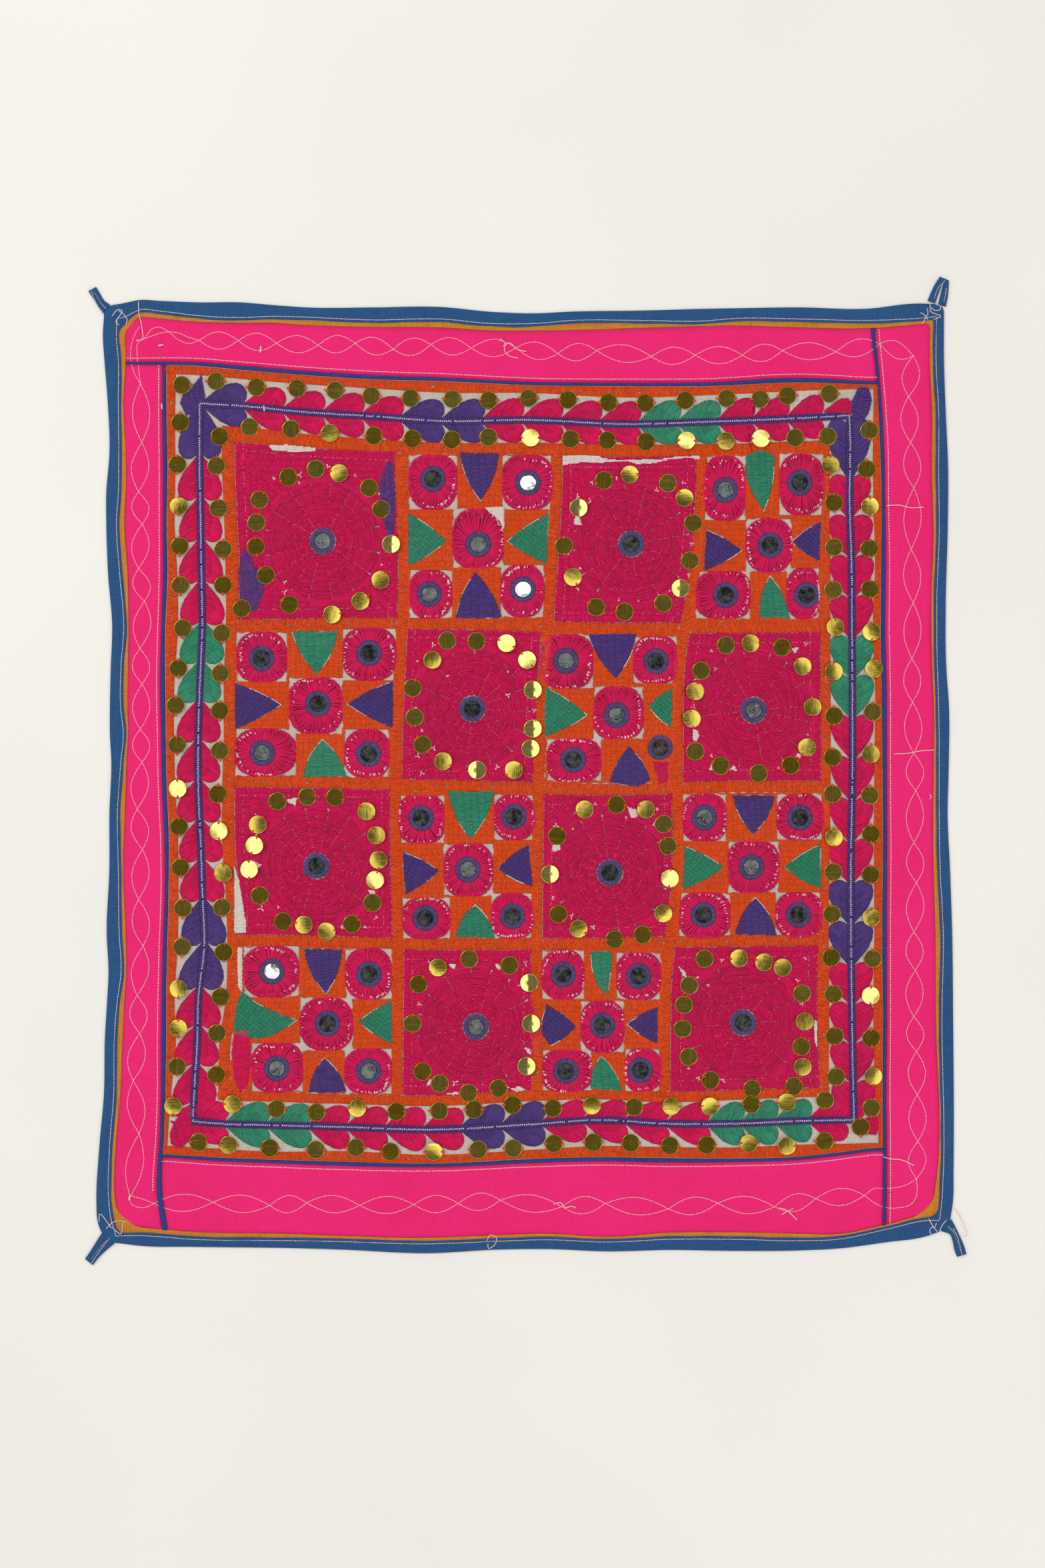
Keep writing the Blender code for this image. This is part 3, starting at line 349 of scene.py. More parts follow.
# Middles of the sequins, as pixels of the photograph. B catches the light, G does so in part, and
# H and L are folded so that their right or left half does.
SEQUIN_ROWS = {
    "top outer": [
        (273, 578), (324.5, 572), (385, 581), (446, 583), (503, 586), (557, 594), (616, 597.5),
        (678.6, 599), (733, 601), (793, 597.5), (852, 600), (913, 604), (968, 605), (1028, 601),
        (1090, 598), (1140, 599), (1181, 594), (1244, 591),
    ],
    "top inner": [
        (330, 655), (375, 641), (437, 644), (495, 650, "G"), (561, 654), (619, 658.6), (678, 660),
        (733, 656), (796, 657, "B"), (856, 659), (911, 661), (969, 663), (1030, 661, "B"), (1089, 662, "G"),
        (1141.5, 658, "B"), (1193, 657), (1241.5, 655),
    ],
    "right outer": [
        (1304, 646), (1300, 704), (1305, 759.5, "G"), (1304, 823), (1305, 884), (1307, 948, "G"),
        (1311, 1003, "G"), (1309, 1068), (1306.5, 1131, "G"), (1305, 1193), (1306.5, 1251), (1306, 1312),
        (1307, 1376, "G"), (1309, 1438), (1306, 1493, "B"), (1307, 1557), (1310, 1614, "G"), (1307, 1661.5),
        (1291, 1690),
    ],
    "right inner": [
        (1246, 698, "G"), (1251, 754), (1251, 821), (1250, 885), (1253, 941, "G"), (1251, 1007, "G"),
        (1251, 1074), (1249, 1136), (1249, 1191), (1251, 1256, "G"), (1250, 1308), (1248, 1371),
        (1247, 1436), (1250, 1491), (1252, 1554), (1254, 1615), (1237.5, 1650),
    ],
    "left outer": [
        (270.7, 634), (266.5, 697), (268.6, 759.5, "G"), (270, 819.5), (271, 878), (274.7, 942.5),
        (268, 1002.5), (264, 1058), (266, 1117), (267, 1183, "B"), (269, 1240), (271, 1301), (274.7, 1362),
        (273.5, 1420), (268, 1483, "G"), (268, 1542, "G"), (266, 1599.5), (260, 1659, "G"),
    ],
    "left inner": [
        (325, 699), (328, 762.5), (335, 824), (335, 878), (333, 950), (331, 1010), (330, 1066), (330, 1126),
        (327, 1191), (328.6, 1246.5, "B"), (335, 1309.5, "G"), (333.5, 1361), (336, 1428), (331.5, 1495),
        (326, 1549.5), (325, 1612),
    ],
    "bottom inner": [
        (349, 1656, "G"), (415, 1663), (475, 1668), (536, 1662, "G"), (595, 1667), (659, 1666), (711, 1664),
        (769, 1657), (829.5, 1662), (888, 1658, "G"), (951, 1660), (1007, 1659, "G"), (1065, 1659, "G"),
        (1127, 1656), (1180, 1653, "G"),
    ],
    "bottom outer": [
        (298, 1713), (343, 1717, "G"), (405, 1721.5), (474, 1724), (534, 1721), (586, 1727),
        (651, 1727, "G"), (717.6, 1724), (770, 1722), (831, 1715), (890, 1713), (946, 1714), (1005, 1718),
        (1060, 1717), (1123, 1714.5, "G"), (1180.5, 1718.6, "G"), (1237, 1711.5),
    ],
}
SEQUIN_ROUNDS = {
    (1, 1): [
        (433, 716), (474, 703.5), (509, 710, "G"), (554, 732), (572, 764), (587, 816.5, "H"),
        (571, 870, "G"), (541, 902, "G"), (498.5, 922, "G"), (434.6, 907), (363, 913), (399, 863),
        (384, 820), (385, 784), (389.5, 750),
    ],
    (1, 3): [
        (906, 721), (945, 712, "G"), (1002, 725), (1027, 747, "G"), (1040, 785), (1035, 841),
        (1021, 882.5, "L"), (995, 905), (937, 918), (894.5, 911), (859.5, 866, "G"), (846, 819),
        (868, 762, "H"),
    ],
    (2, 2): [
        (649, 990, "G"), (671, 961), (715, 962), (760, 965, "B"), (791, 990, "B"), (799.5, 1035, "H"),
        (799.5, 1093, "H"), (796, 1123, "H"), (771, 1155, "G"), (716, 1155, "L"), (665, 1142, "G"),
        (634, 1117), (622, 1076), (619, 1032),
    ],
    (2, 4): [
        (1052, 1006), (1089, 968), (1126, 965, "G"), (1173, 971), (1204, 999.5, "G"), (1219, 1060.5, "G"),
        (1210.5, 1121, "G"), (1186, 1148), (1138, 1160), (1081, 1148.5), (1043, 1127), (1038, 1078, "G"),
        (1043, 1037, "G"),
    ],
    (3, 1): [
        (416.5, 1202), (461, 1195), (503, 1196), (550, 1217, "G"), (565, 1253, "G"), (568, 1290, "G"),
        (563, 1320, "B"), (559, 1354), (528, 1386), (490, 1397, "G"), (456, 1387, "G"), (425, 1382),
        (390, 1343), (374, 1304, "B"), (382, 1268, "B"), (387, 1237, "G"),
    ],
    (3, 3): [
        (836, 1254), (877, 1214, "G"), (925, 1207), (969, 1214, "G"), (995.5, 1236), (1002, 1269),
        (1005, 1317.5, "B"), (995, 1370, "G"), (964, 1402), (922, 1409), (868, 1393, "G"), (838, 1371),
        (825, 1311, "H"),
    ],
    (4, 2): [
        (628, 1476), (657, 1451, "G"), (704, 1438), (764.5, 1448), (794, 1474, "L"), (797, 1535, "H"),
        (790, 1599, "H"), (748, 1632), (703, 1639), (660, 1625), (634, 1607), (619, 1535),
    ],
    (4, 4): [
        (1034, 1478), (1057, 1438), (1108.5, 1437, "G"), (1146, 1443, "G"), (1174, 1451, "G"), (1203, 1490),
        (1207, 1532, "G"), (1202, 1569.5), (1204, 1600, "G"), (1191, 1629), (1128.5, 1633), (1066, 1620),
        (1033, 1585), (1024, 1543), (1026, 1507),
    ],
}
# Where the two waves of machine stitches on the border strips cross, as pixels of the photograph.
WAVE_CROSSINGS = {
    "top": [
        (299, 511), (357.5, 511), (415, 515), (477.5, 518), (533, 515), (590, 524), (646.5, 517),
        (707, 522.5), (774, 522), (837, 531), (895, 526), (977.5, 535), (1043, 533), (1114, 533),
        (1174, 526), (1254, 528), (1320, 516), (1370, 534),
    ],
    "right": [
        (1370, 534), (1363, 595), (1366, 664), (1371, 732), (1367, 824), (1370, 904), (1368, 988),
        (1369, 1053), (1371, 1130), (1374, 1186), (1371, 1264), (1375, 1324), (1371, 1398), (1373, 1455),
        (1371, 1525), (1375, 1577), (1376, 1642), (1377, 1712), (1375, 1768),
    ],
    "left": [
        (211, 576), (213, 664), (208, 738), (213.5, 786), (208, 853), (217, 902), (210, 973), (213.5, 1026),
        (210.5, 1094), (213.5, 1143), (206, 1213.5), (214, 1274), (208, 1349), (215, 1419), (206, 1493),
        (210, 1550), (200, 1621), (209, 1700), (195.5, 1795),
    ],
    "bottom": [
        (231, 1805), (320, 1803), (405, 1808), (460, 1804), (540, 1808), (621, 1806.5), (687.5, 1805),
        (751, 1800), (843, 1810), (908, 1805), (1003, 1813), (1077, 1804.5), (1162, 1810), (1224, 1797.5),
        (1297, 1793),
    ],
}
# The waves where they turn the corners, as pixels of the photograph.
WAVE_CORNERS = (
    [(211, 576), (201, 558), (196, 537), (197.6, 518), (204, 499), (210, 490)],
    [(211, 576), (208.5, 555), (206, 530), (207, 515), (212, 510), (221, 507), (237, 501), (253.5, 498),
     (269, 500), (281.5, 505.6), (299, 511)],
    [(204, 511), (213, 511), (221, 502), (229, 493), (236.5, 491), (253.5, 498), (266, 508.7),
     (284.6, 515.5), (299, 511)],
    [(1375, 1768), (1376, 1781), (1374, 1796.5), (1364.5, 1807.4), (1349, 1811.4), (1330, 1811.4),
     (1315, 1806), (1297, 1793)],
    [(1375, 1768), (1361.4, 1776.4), (1345.8, 1781), (1327, 1782.5), (1311.7, 1782.5), (1297, 1793)],
    [(194.5, 1790), (198, 1806), (210, 1811.4), (221, 1810), (231, 1805)],
    [(195.5, 1793), (213, 1798), (231, 1805)],
)
# Odd patches of one colour, as pixels of the photograph: colour, angle of the strands, outline.
PATCHES = (
    ("leaf", 90, [(1234, 619), (1246, 608), (1262, 598), (1272, 597), (1277, 604), (1277, 622),
        (1256, 620)]),
    ("purple", 12, [(303, 563), (308, 595), (305, 608), (290, 620), (280, 625), (270, 604), (275, 592),
        (286, 583)]),
    ("purple", -14, [(1287, 582), (1303, 582), (1308, 602), (1303, 621), (1292, 638), (1285, 647),
        (1279, 640), (1277, 602)]),
    ("leaf", 15, [(289, 1660), (275, 1666), (263, 1681), (255, 1700), (256, 1713), (264, 1721),
        (275, 1720), (285, 1710), (289, 1697)]),
    ("leaf", 10, [(1298, 1702), (1315, 1702), (1319, 1685), (1315, 1669), (1307, 1672), (1297, 1680)]),
    ("purple", 5, [(584, 690), (590, 700), (593, 730), (592, 800), (586, 812), (577, 790), (571, 760),
        (569, 727), (576, 703)]),
    ("purple", 8, [(363, 822), (375, 831), (384, 849), (397, 869), (397, 888), (390, 905), (384, 918),
        (370, 917), (360, 905), (358, 860)]),
    ("flower", 90, [(979, 1143), (1002, 1143), (1002, 1174), (989, 1174)]),
    ("flower", 4, [(353, 1545), (373, 1545), (377, 1575), (376, 1610), (370, 1632), (360, 1637),
        (351, 1620), (348, 1580)]),
)
# Loose threads and basting ticks, as pixels of the photograph.
LOOSE_THREADS = (
    [(208, 452), (208.7, 470), (213, 490), (212.5, 510), (204, 511)],
    [(168, 475), (178, 465), (183, 466), (175, 485), (180, 488)],
    [(178, 466), (186, 472), (191, 480), (189, 488)], [(1380, 469), (1388, 474), (1392, 481)],
    [(1395, 455), (1396, 467), (1411, 475), (1400, 480)],
    [(1403, 458), (1409, 458), (1411, 464), (1400, 465), (1396, 460)],
    [(1383, 487), (1388, 478), (1392, 470), (1390, 462)],
    [(149, 1833), (150, 1821), (165, 1838), (168, 1842)],
    [(159, 1843), (172, 1832), (182, 1831), (190, 1833)],
    [(185, 1832), (184, 1841), (182, 1850), (168, 1840)], [(1393, 1827), (1401, 1841), (1407, 1848)],
    [(1405, 1833), (1401, 1841), (1397, 1841), (1395, 1848), (1399, 1852)],
    [(1420, 1829), (1413, 1838), (1409, 1847)],
    [(1431, 1810), (1439, 1822), (1446, 1838), (1450, 1852), (1443, 1856)],
    [(730, 1862), (736, 1852), (745, 1856), (741, 1868), (733, 1872), (732, 1864)],
    [(1324, 1735), (1336, 1738), (1350, 1739), (1372, 1748)],
    [(1329, 759), (1348, 758), (1367, 762), (1386, 761)],
    [(1340, 1131), (1362, 1130), (1383, 1126), (1403, 1125)],
    [(750, 508), (758, 516), (757, 526), (764, 534), (778, 538)],
    [(754, 520), (764, 515), (776, 524), (790, 528)],
    [(830, 1806), (842, 1804), (848, 1811), (858, 1809), (865, 1812)],
    [(1168, 1811), (1180, 1815), (1188, 1822), (1196, 1830)], [(1172, 1822), (1182, 1816), (1191, 1812)],
    [(1394, 1191), (1397, 1195), (1394, 1199)],
)
TICKS = (
    [(237, 519.5), (246, 517.5)], [(391.6, 519), (391, 530)], [(243, 605), (243.4, 615)],
    [(396, 608), (397, 618)], [(195, 1792), (194, 1801)],
)
# Stitch lines along the hanging loops, as pixels of the photograph.
LOOP_SEAMS = (
    [(137, 436), (142, 450), (147, 460), (156, 471)], [(1402, 448), (1404, 440), (1408, 431), (1418, 421)],
    [(1416, 453), (1418, 444), (1420, 432)], [(165, 1856), (150, 1876), (137, 1895)],
    [(1430, 1842), (1436, 1854), (1440, 1868), (1443, 1882)],
)

SIDES = ("top", "right", "bottom", "left")
HORIZONTAL = ("top", "bottom")
INWARD = {"top": -1, "bottom": 1, "left": 1, "right": -1}
# The sides at the two ends of a line, by whether it lies flat.
ENDS = {True: ("left", "right"), False: ("bottom", "top")}
CROSSING_ROUNDS = 20

# Heights and sizes of the strands.
GROUND_TOP = 1.4
STITCH_FOOT = GROUND_TOP + 0.3
PITCH = 1.22
STRAND = 1.5
THICK = 0.8
END_DROP = 0.15
ROW_OVERLAP = 0.14
# Painted shade: how dark a strand is painted along its two edges and at its ends, as the shade in the grooves
# between strands and where they go into the cloth.
EDGE_PAINTED_SHADE = 0.12
END_PAINTED_SHADE = 0.4
# Heights of the bare cloth that shows: between petals, beside a frame, in a fork, along a triangle, in
# a patch and in an eyelet. It is drawn as flat strands over the others.
PETAL_GAP, FRAME_GAP, FORK_GAP, SLIVER_GAP, BARE_GAP = (
    STITCH_FOOT + rise for rise in (0.85, 0.95, 1.0, 1.15, 0.75))
SLOT_GAP = 2.95
# Where along a strand its stops are, along a machine stitch, and along a short dot of thread.
SHORT = np.array([0, 0.1, 0.9, 1])
DASH_STOPS = np.array([-0.5, -0.42, 0.42, 0.5])
DOT_STOPS = np.linspace(-0.5, 0.5, 4)
RNG = np.random.default_rng(11)


def vary(amount, shape):
    """Random numbers between minus and plus an amount."""
    return RNG.uniform(-amount, amount, shape)


def from_photo(spots):
    """Pixels of the photograph as millimetres."""
    spots = np.array([spot[:2] for spot in spots], float)
    return np.stack([(spots[:, 0] - PHOTO_X) * PX, (PHOTO_Y - spots[:, 1]) * PX], axis=1)


def smooth_line(rows):
    """A soft curve through (at, across) rows, as a function of at."""
    at, across = np.array(sorted(row[:2] for row in rows), float).T
    slope = np.gradient(across, at)

    def read(where):
        where = np.asarray(where, float)
        i = np.clip(np.searchsorted(at, where) - 1, 0, len(at) - 2)
        span = at[i + 1] - at[i]
        t = np.clip((where - at[i]) / span, 0.0, 1.0)
        start = (1 + 2 * t) * (1 - t) ** 2 * across[i] + t * t * (3 - 2 * t) * across[i + 1]
        return start + span * (t * (1 - t) ** 2 * slope[i] - t * t * (1 - t) * slope[i + 1])

    return read


def side_lines():
    """Every named line of each side, from the rim and the seam tables."""
    lines = {}
    for side, rows in RIM.items():
        inward = INWARD[side]
        for name, binding_share, trim_share in (("edge", 0, 0), ("binding_in", 1, 0), ("trim_in", 1, 1)):
            lines[side, name] = smooth_line([(at, edge + inward * (binding_share * width + trim_share * trim))
                                             for at, edge, width, trim in rows])
    for side, rows in SEAMS.items():
        for column, name in enumerate(SEAM_COLUMNS, 1):
            lines[side, name] = smooth_line([(row[0], row[column]) for row in rows])
    return lines


LINES = side_lines()


def side_line(side, name, inset=0.0):
    """A line of a side, moved inwards. Every line is a pair: whether it lies flat, along x, and how
    far across it is at a place."""
    read, shift = LINES[side, name], INWARD[side] * inset
    return side in HORIZONTAL, lambda at: read(at) + shift


def placed(flat, along, across):
    """x and y of a place that is given along a line and across it."""
    return (along, across) if flat else (across, along)


def on_line(line, at):
    """Points of a line at places along it, one row each."""
    return np.stack(placed(line[0], at, line[1](at)), axis=1)


def crossing(first, second):
    """The corner where a flat line meets an upright one."""
    flat, upright = (first, second) if first[0] else (second, first)
    x, y = upright[1](0.0), flat[1](0.0)
    for _ in range(CROSSING_ROUNDS):
        x, y = upright[1](y), flat[1](x)
    return x, y


def corners_of(lines):
    """Corners of four lines that go round: top left, top right, bottom right, bottom left."""
    return np.array([crossing(lines[i - 1], lines[i]) for i in range(4)], float)


def along_at(side, end, name, line):
    """Where, along a side, it meets a line of another side."""
    return crossing(side_line(side, name), side_line(end, line))[0 if side in HORIZONTAL else 1]


def far_along(path):
    """How far along a path each of its points is."""
    return np.concatenate([[0], np.cumsum(np.linalg.norm(np.diff(path, axis=0), axis=1))])


def soft_path(path, count, gone):
    """Points at even steps on a soft curve through a path, which has gone so far at its points."""
    at = np.linspace(0, gone[-1], count)
    return np.stack([smooth_line(list(zip(gone, column)))(at) for column in path.T], axis=1)


def polar(centre, reach, angle):
    """x and y at a reach and an angle from a centre."""
    return centre[0] + reach * np.cos(angle), centre[1] + reach * np.sin(angle)


def all_mirrors():
    """Name and centre of every mirror, block by block."""
    found = {}
    for (row, column), centre in FLOWERS.items():
        found[f"mirror_r{row}c{column}"] = centre
    for (row, column), centres in EYELETS.items():
        for part, centre in zip(EYELET_NAMES, centres):
            found[f"mirror_r{row}c{column}_{part}"] = centre
    return found


def bar_edge(bar, shift, flat):
    """A line beside the middle of a bar between the blocks."""
    read = smooth_line(bar)
    return flat, lambda at: read(at) + shift


def block_lines(row, column):
    """The lines around a block: the inner bar's edge or the edge of a bar between the blocks."""
    half = BAR_WIDTH / 2
    return [
        side_line("top", "bar_in") if row == 1 else bar_edge(ROW_BARS[row - 2], -half, True),
        side_line("right", "bar_in") if column == 4 else bar_edge(COLUMN_BARS[column - 1], -half, False),
        side_line("bottom", "bar_in") if row == 4 else bar_edge(ROW_BARS[row - 1], half, True),
        side_line("left", "bar_in") if column == 1 else bar_edge(COLUMN_BARS[column - 2], half, False),
    ]


def swell(x, y):
    """How far the embroidered cloth stands above its flat height, with its pinched tuck."""
    soft = 0.3 * np.sin(x / 41 + 1.2 * np.sin(y / 67)) * np.cos(y / 49 + 0.8 * np.sin(x / 83))
    fine = 0.12 * np.sin(x / 13 + y / 31) * np.cos(y / 15 - x / 37)
    line = smooth_line([(y, x) for x, y in TUCK])
    fade = np.clip(np.minimum(y - TUCK[-1][1], TUCK[0][1] - y) / 8, 0, 1)
    return soft + fine + TUCK_HIGH * fade * np.exp(-(((x - line(y)) / TUCK_WIDE) ** 2))


class Threads:
    """Gathers strands of thread, each an arched ribbon with pointed ends, into one piece."""

    def __init__(self):
        self.points, self.faces, self.tones, self.count = [], [], [], 0

    def lay(self, x, y, z, width=STRAND, thick=THICK, tone=(0.6, 1.0)):
        """x, y and z hold a row of stops for each strand. thick is how high its middle stands."""
        paths = np.stack(np.broadcast_arrays(x, y, z), axis=-1).astype(float)
        paths = paths.reshape(-1, *paths.shape[-2:])
        number, stops = paths.shape[:2]
        if not number:
            return
        run = np.gradient(paths[..., :2], axis=1)
        run /= np.maximum(np.linalg.norm(run, axis=2, keepdims=True), 1e-9)
        side = np.stack([-run[..., 1], run[..., 0], np.zeros((number, stops))], axis=2)
        side = side[:, 1:-1] * np.reshape(width, (-1, 1, 1)) / 2
        inner = paths[:, 1:-1]
        belly = np.stack([inner + side, inner + (0, 0, thick), inner - side], axis=2)
        points = np.concatenate([paths[:, :1], belly.reshape(number, -1, 3), paths[:, -1:]], axis=1)
        each = points.shape[1]
        last, final = each - 1, each - 4
        faces = [(0, 2, 1), (0, 3, 2), (final + 1, last, final), (final + 2, last, final + 1)]
        for a in range(1, final, 3):
            for left in (a, a + 1):
                faces += [(left, left + 1, left + 4), (left, left + 4, left + 3)]
        first = self.count + each * np.arange(number)
        self.faces.append((first[:, None, None] + np.array(faces)[None]).reshape(-1, 3))
        self.points.append(points.reshape(-1, 3))
        # Painted shade: each strand is painted dark along its edges and at its ends, as the shade in the
        # grooves between strands; the random value of each strand multiplies it.
        groove_painted_shade = np.full(each, EDGE_PAINTED_SHADE)
        groove_painted_shade[2::3] = 1.0
        groove_painted_shade[[0, -1]] = END_PAINTED_SHADE
        shade = RNG.uniform(*tone, number)
        self.tones.append((shade[:, None] * groove_painted_shade[None, :]).ravel())
        self.count += number * each

    def sew(self, x, y, z, sink=0.0, **look):
        """Lays strands at heights above the flat cloth, so that they follow its swell. sink is how
        far their two ends go down into it."""
        z = z + swell(x, y)
        z[..., 0] -= sink
        z[..., -1] -= sink
        self.lay(x, y, z, **look)

    def piece(self, name, material, slot=None):
        points, faces, tones = (np.concatenate(part) for part in (self.points, self.faces, self.tones))
        return piece(name, points, [faces], material, tones)


def piece(name, points, faces, material, tones=None):
    """One piece from points in millimetres and lists of faces, each list with one corner count."""
    mesh = bpy.data.meshes.new(name)
    corners = np.concatenate([np.asarray(part, np.int32).ravel() for part in faces])
    sizes = np.concatenate([np.full(len(part), len(part[0]), np.int32) for part in faces])
    mesh.vertices.add(len(points))
    mesh.vertices.foreach_set("co", (np.asarray(points) * MM).astype(np.float32).ravel())
    mesh.loops.add(len(corners))
    mesh.loops.foreach_set("vertex_index", corners)
    mesh.polygons.add(len(sizes))
    mesh.polygons.foreach_set("loop_start", np.concatenate([[0], np.cumsum(sizes)[:-1]]).astype(np.int32))
    mesh.update(calc_edges=True)
    mesh.validate()
    mesh.shade_smooth()
    if tones is not None:
        mesh.attributes.new("tone", "FLOAT", "POINT").data.foreach_set("value", tones.astype(np.float32))
    mesh.materials.append(material)
    obj = linked(name, mesh)
    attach(obj, "root")
    return obj


def linked(name, data):
    """A new object in the scene."""
    obj = bpy.data.objects.new(name, data)
    bpy.context.collection.objects.link(obj)
    return obj


def between(start, stop):
    """The stops of short strands that go from one value to another, one row a strand."""
    return start[:, None] + (stop - start)[:, None] * SHORT


def satin(threads, flat, first, last, start, stop, rows=2, bulge=0.5, lean=1.9, jag=0.35, pitch=PITCH,
          base=STITCH_FOOT):
    """Strands side by side from one line across to another, in rows that lean to and fro."""
    count = max(int(abs(stop - start) / pitch), 1)
    for row in range(rows):
        at = start + (stop - start) * (np.arange(count) + 0.25 + 0.5 * (row % 2)) / count
        at = at + vary(0.15 * pitch, count)
        blend = 0.1 * np.sin(at / 4.0 + RNG.uniform(0, 6)) * np.sin(at / 7.3) + vary(0.09, count)
        low = row / rows + (blend - ROW_OVERLAP / 2) if row else np.zeros(count)
        high = (row + 1) / rows + (blend + ROW_OVERLAP / 2) if row < rows - 1 else np.ones(count)
        share = between(low, high)
        along = at[:, None] + lean * (1 if row % 2 else -1) * (SHORT - 0.5)
        start_at, stop_at = first(along), last(along)
        wide = np.maximum(np.abs(stop_at - start_at), 1e-6)
        for end in (0, -1):
            share[:, end] += vary(jag, count) / wide[:, end]
        x, y = placed(flat, along, start_at + (stop_at - start_at) * share)
        z = base + bulge * 4 * share * (1 - share) + vary(0.06, (count, 1))
        threads.sew(x, y, z, END_DROP)


def inside(points, polygon):
    """Which of the points lie inside the polygon, by counting the edges to their right."""
    found = np.zeros(points.shape[:-1], bool)
    x, y = points[..., 0], points[..., 1]
    for (x0, y0), (x1, y1) in zip(polygon, np.roll(polygon, -1, axis=0)):
        if y0 != y1:
            found ^= ((y0 > y) != (y1 > y)) & (x < x0 + (y - y0) / (y1 - y0) * (x1 - x0))
    return found


FILL_STEP = 0.5
FILL_TONE = (0.72, 1.0)
SHORTEST = 1.0


def fill(threads, area, angle, holes=(), length=6.0, bulge=0.3, lean=1.6, pitch=PITCH, jag=0.3,
         base=STITCH_FOOT):
    """Short strands in columns that lean to and fro and cover a closed area, at an angle in degrees."""
    area = np.asarray(area, float)
    turn = math.radians(angle)
    along, across = np.array([math.cos(turn), math.sin(turn)]), np.array([-math.sin(turn), math.cos(turn)])
    us = np.arange((area @ along).min() - FILL_STEP, (area @ along).max() + 2 * FILL_STEP, FILL_STEP)
    vs = np.arange((area @ across).min() + pitch / 3, (area @ across).max(), pitch)
    vs = vs + vary(0.12 * pitch, len(vs))
    spots = us[None, :, None] * along + vs[:, None, None] * across
    free = inside(spots, area)
    for hole in holes:
        free &= ~inside(spots, np.asarray(hole))
    # Every free spot gets its column's number. A strand is a run of spots with the same number.
    shift = RNG.uniform(0, 2 * length) + vary(0.12 * length, len(vs))
    column = np.floor((us[None, :] + shift[:, None]) / length).astype(int)
    mark = np.where(free, column, column.min() - 1).ravel()
    change = np.flatnonzero(np.diff(mark)) + 1
    starts, stops = np.concatenate([[0], change]), np.concatenate([change, [len(mark)]])
    kept = mark[starts] >= column.min()
    starts, stops = starts[kept], stops[kept]
    line, first = np.divmod(starts, len(us))
    u0, u1 = us[first] - FILL_STEP / 2, us[first] + (stops - starts - 0.5) * FILL_STEP
    joined = starts[1:] == stops[:-1]
    lap = ROW_OVERLAP / 2 * length
    u0 = np.where(np.concatenate([[False], joined]), u0 - lap, u0) + vary(jag, len(u0))
    u1 = np.where(np.concatenate([joined, [False]]), u1 + lap, u1) + vary(jag, len(u0))
    hand = np.where(mark[starts] % 2, 1, -1)
    kept = u1 - u0 > SHORTEST
    line, u0, u1, hand = line[kept], u0[kept], u1[kept], hand[kept]
    run = between(u0, u1)
    slope = hand[:, None] * lean * (SHORT - 0.5) * ((u1 - u0) / length)[:, None]
    drift = 0.5 * np.sin(run / 9.0 + vs[line][:, None] / 17.0)
    spots = run[..., None] * along + (vs[line][:, None] + slope + drift)[..., None] * across
    z = base + bulge + vary(0.08, (len(line), 1))
    threads.sew(spots[..., 0], spots[..., 1], z, END_DROP, tone=FILL_TONE)


def stitches(threads, path, pitch, dash, height, width=0.62, closed=False):
    """Machine stitches along a path in millimetres. height is a number or a function of x and y."""
    if closed:
        path = np.concatenate([path, path[:1]])
    gone = far_along(path)
    count = max(int(gone[-1] / pitch), 1)
    at = (np.arange(count) + 0.5) * gone[-1] / count + vary(0.08 * pitch, count)
    spots = at[:, None] + dash * DASH_STOPS
    x, y = [np.interp(spots, gone, path[:, k]) + vary(0.12, (count, 1)) for k in (0, 1)]
    z = height(x, y) if callable(height) else np.full_like(x, height)
    z[:, [0, -1]] -= 0.1
    threads.lay(x, y, z, width=width, thick=0.28, tone=(0.9, 1.0))


def strand(threads, path, height, width, thick=0.3):
    """One long loose thread on a soft curve through the points, in millimetres."""
    gone = far_along(path)
    x, y = soft_path(path, max(int(gone[-1] / 1.2), 5), gone).T
    threads.lay(x, y, height + 0.25 * np.sin(np.linspace(0, 9, len(x))) ** 2, width=width, thick=thick)


def bands(threads):
    """The orange band round the panel, the bar inside the leaves and the bars between the blocks."""
    for outer, inner, inset in (("pipe_in", "band_in", 0.5), ("bar_out", "bar_in", 0.0)):
        for side in SIDES:
            flat, first = side_line(side, outer, inset)
            reach = outer if flat else inner
            ends = [along_at(side, end, inner, reach) for end in ENDS[flat]]
            satin(threads, flat, first, side_line(side, inner)[1], *ends)
    for flat, bars in ((False, COLUMN_BARS), (True, ROW_BARS)):
        for bar in bars:
            middle, *edges = [bar_edge(bar, hand * BAR_WIDTH / 2, flat) for hand in (0, -1, 1)]
            if flat:
                spans = [block_lines(1, column)[3::-2] for column in range(1, 5)]
            else:
                spans = [[side_line(end, "bar_in") for end in ENDS[flat]]]
            for span in spans:
                ends = [crossing(middle, end)[0 if flat else 1] for end in span]
                satin(threads, flat, edges[0][1], edges[1][1], *ends)


# A leaf's outer rim: along it from the tip, and across it from the vine, as shares.
LEAF_RIM = ((0, -0.02, 0.04), (0.15, 0.19, 0.42), (0.3, 0.4, 0.76), (0.43, 0.61, 0.95), (0.54, 0.77, 0.99),
            (0.64, 0.89, 0.92), (0.73, 0.97, 0.76), (0.82, 1.01, 0.54), (0.91, 1.0, 0.3), (1, 0.93, 0.08))
# How wide the strands of its outer row are, along it.
LEAF_STOUT = ((0, 1.3), (0.45, 1.5), (0.7, 1.95), (1, 1.6))
LEAF_WIDTH = 21.8
LEAF_FOOT = 0.9
LEAF_LAP = 1.0
LEAF_PITCH = 0.98


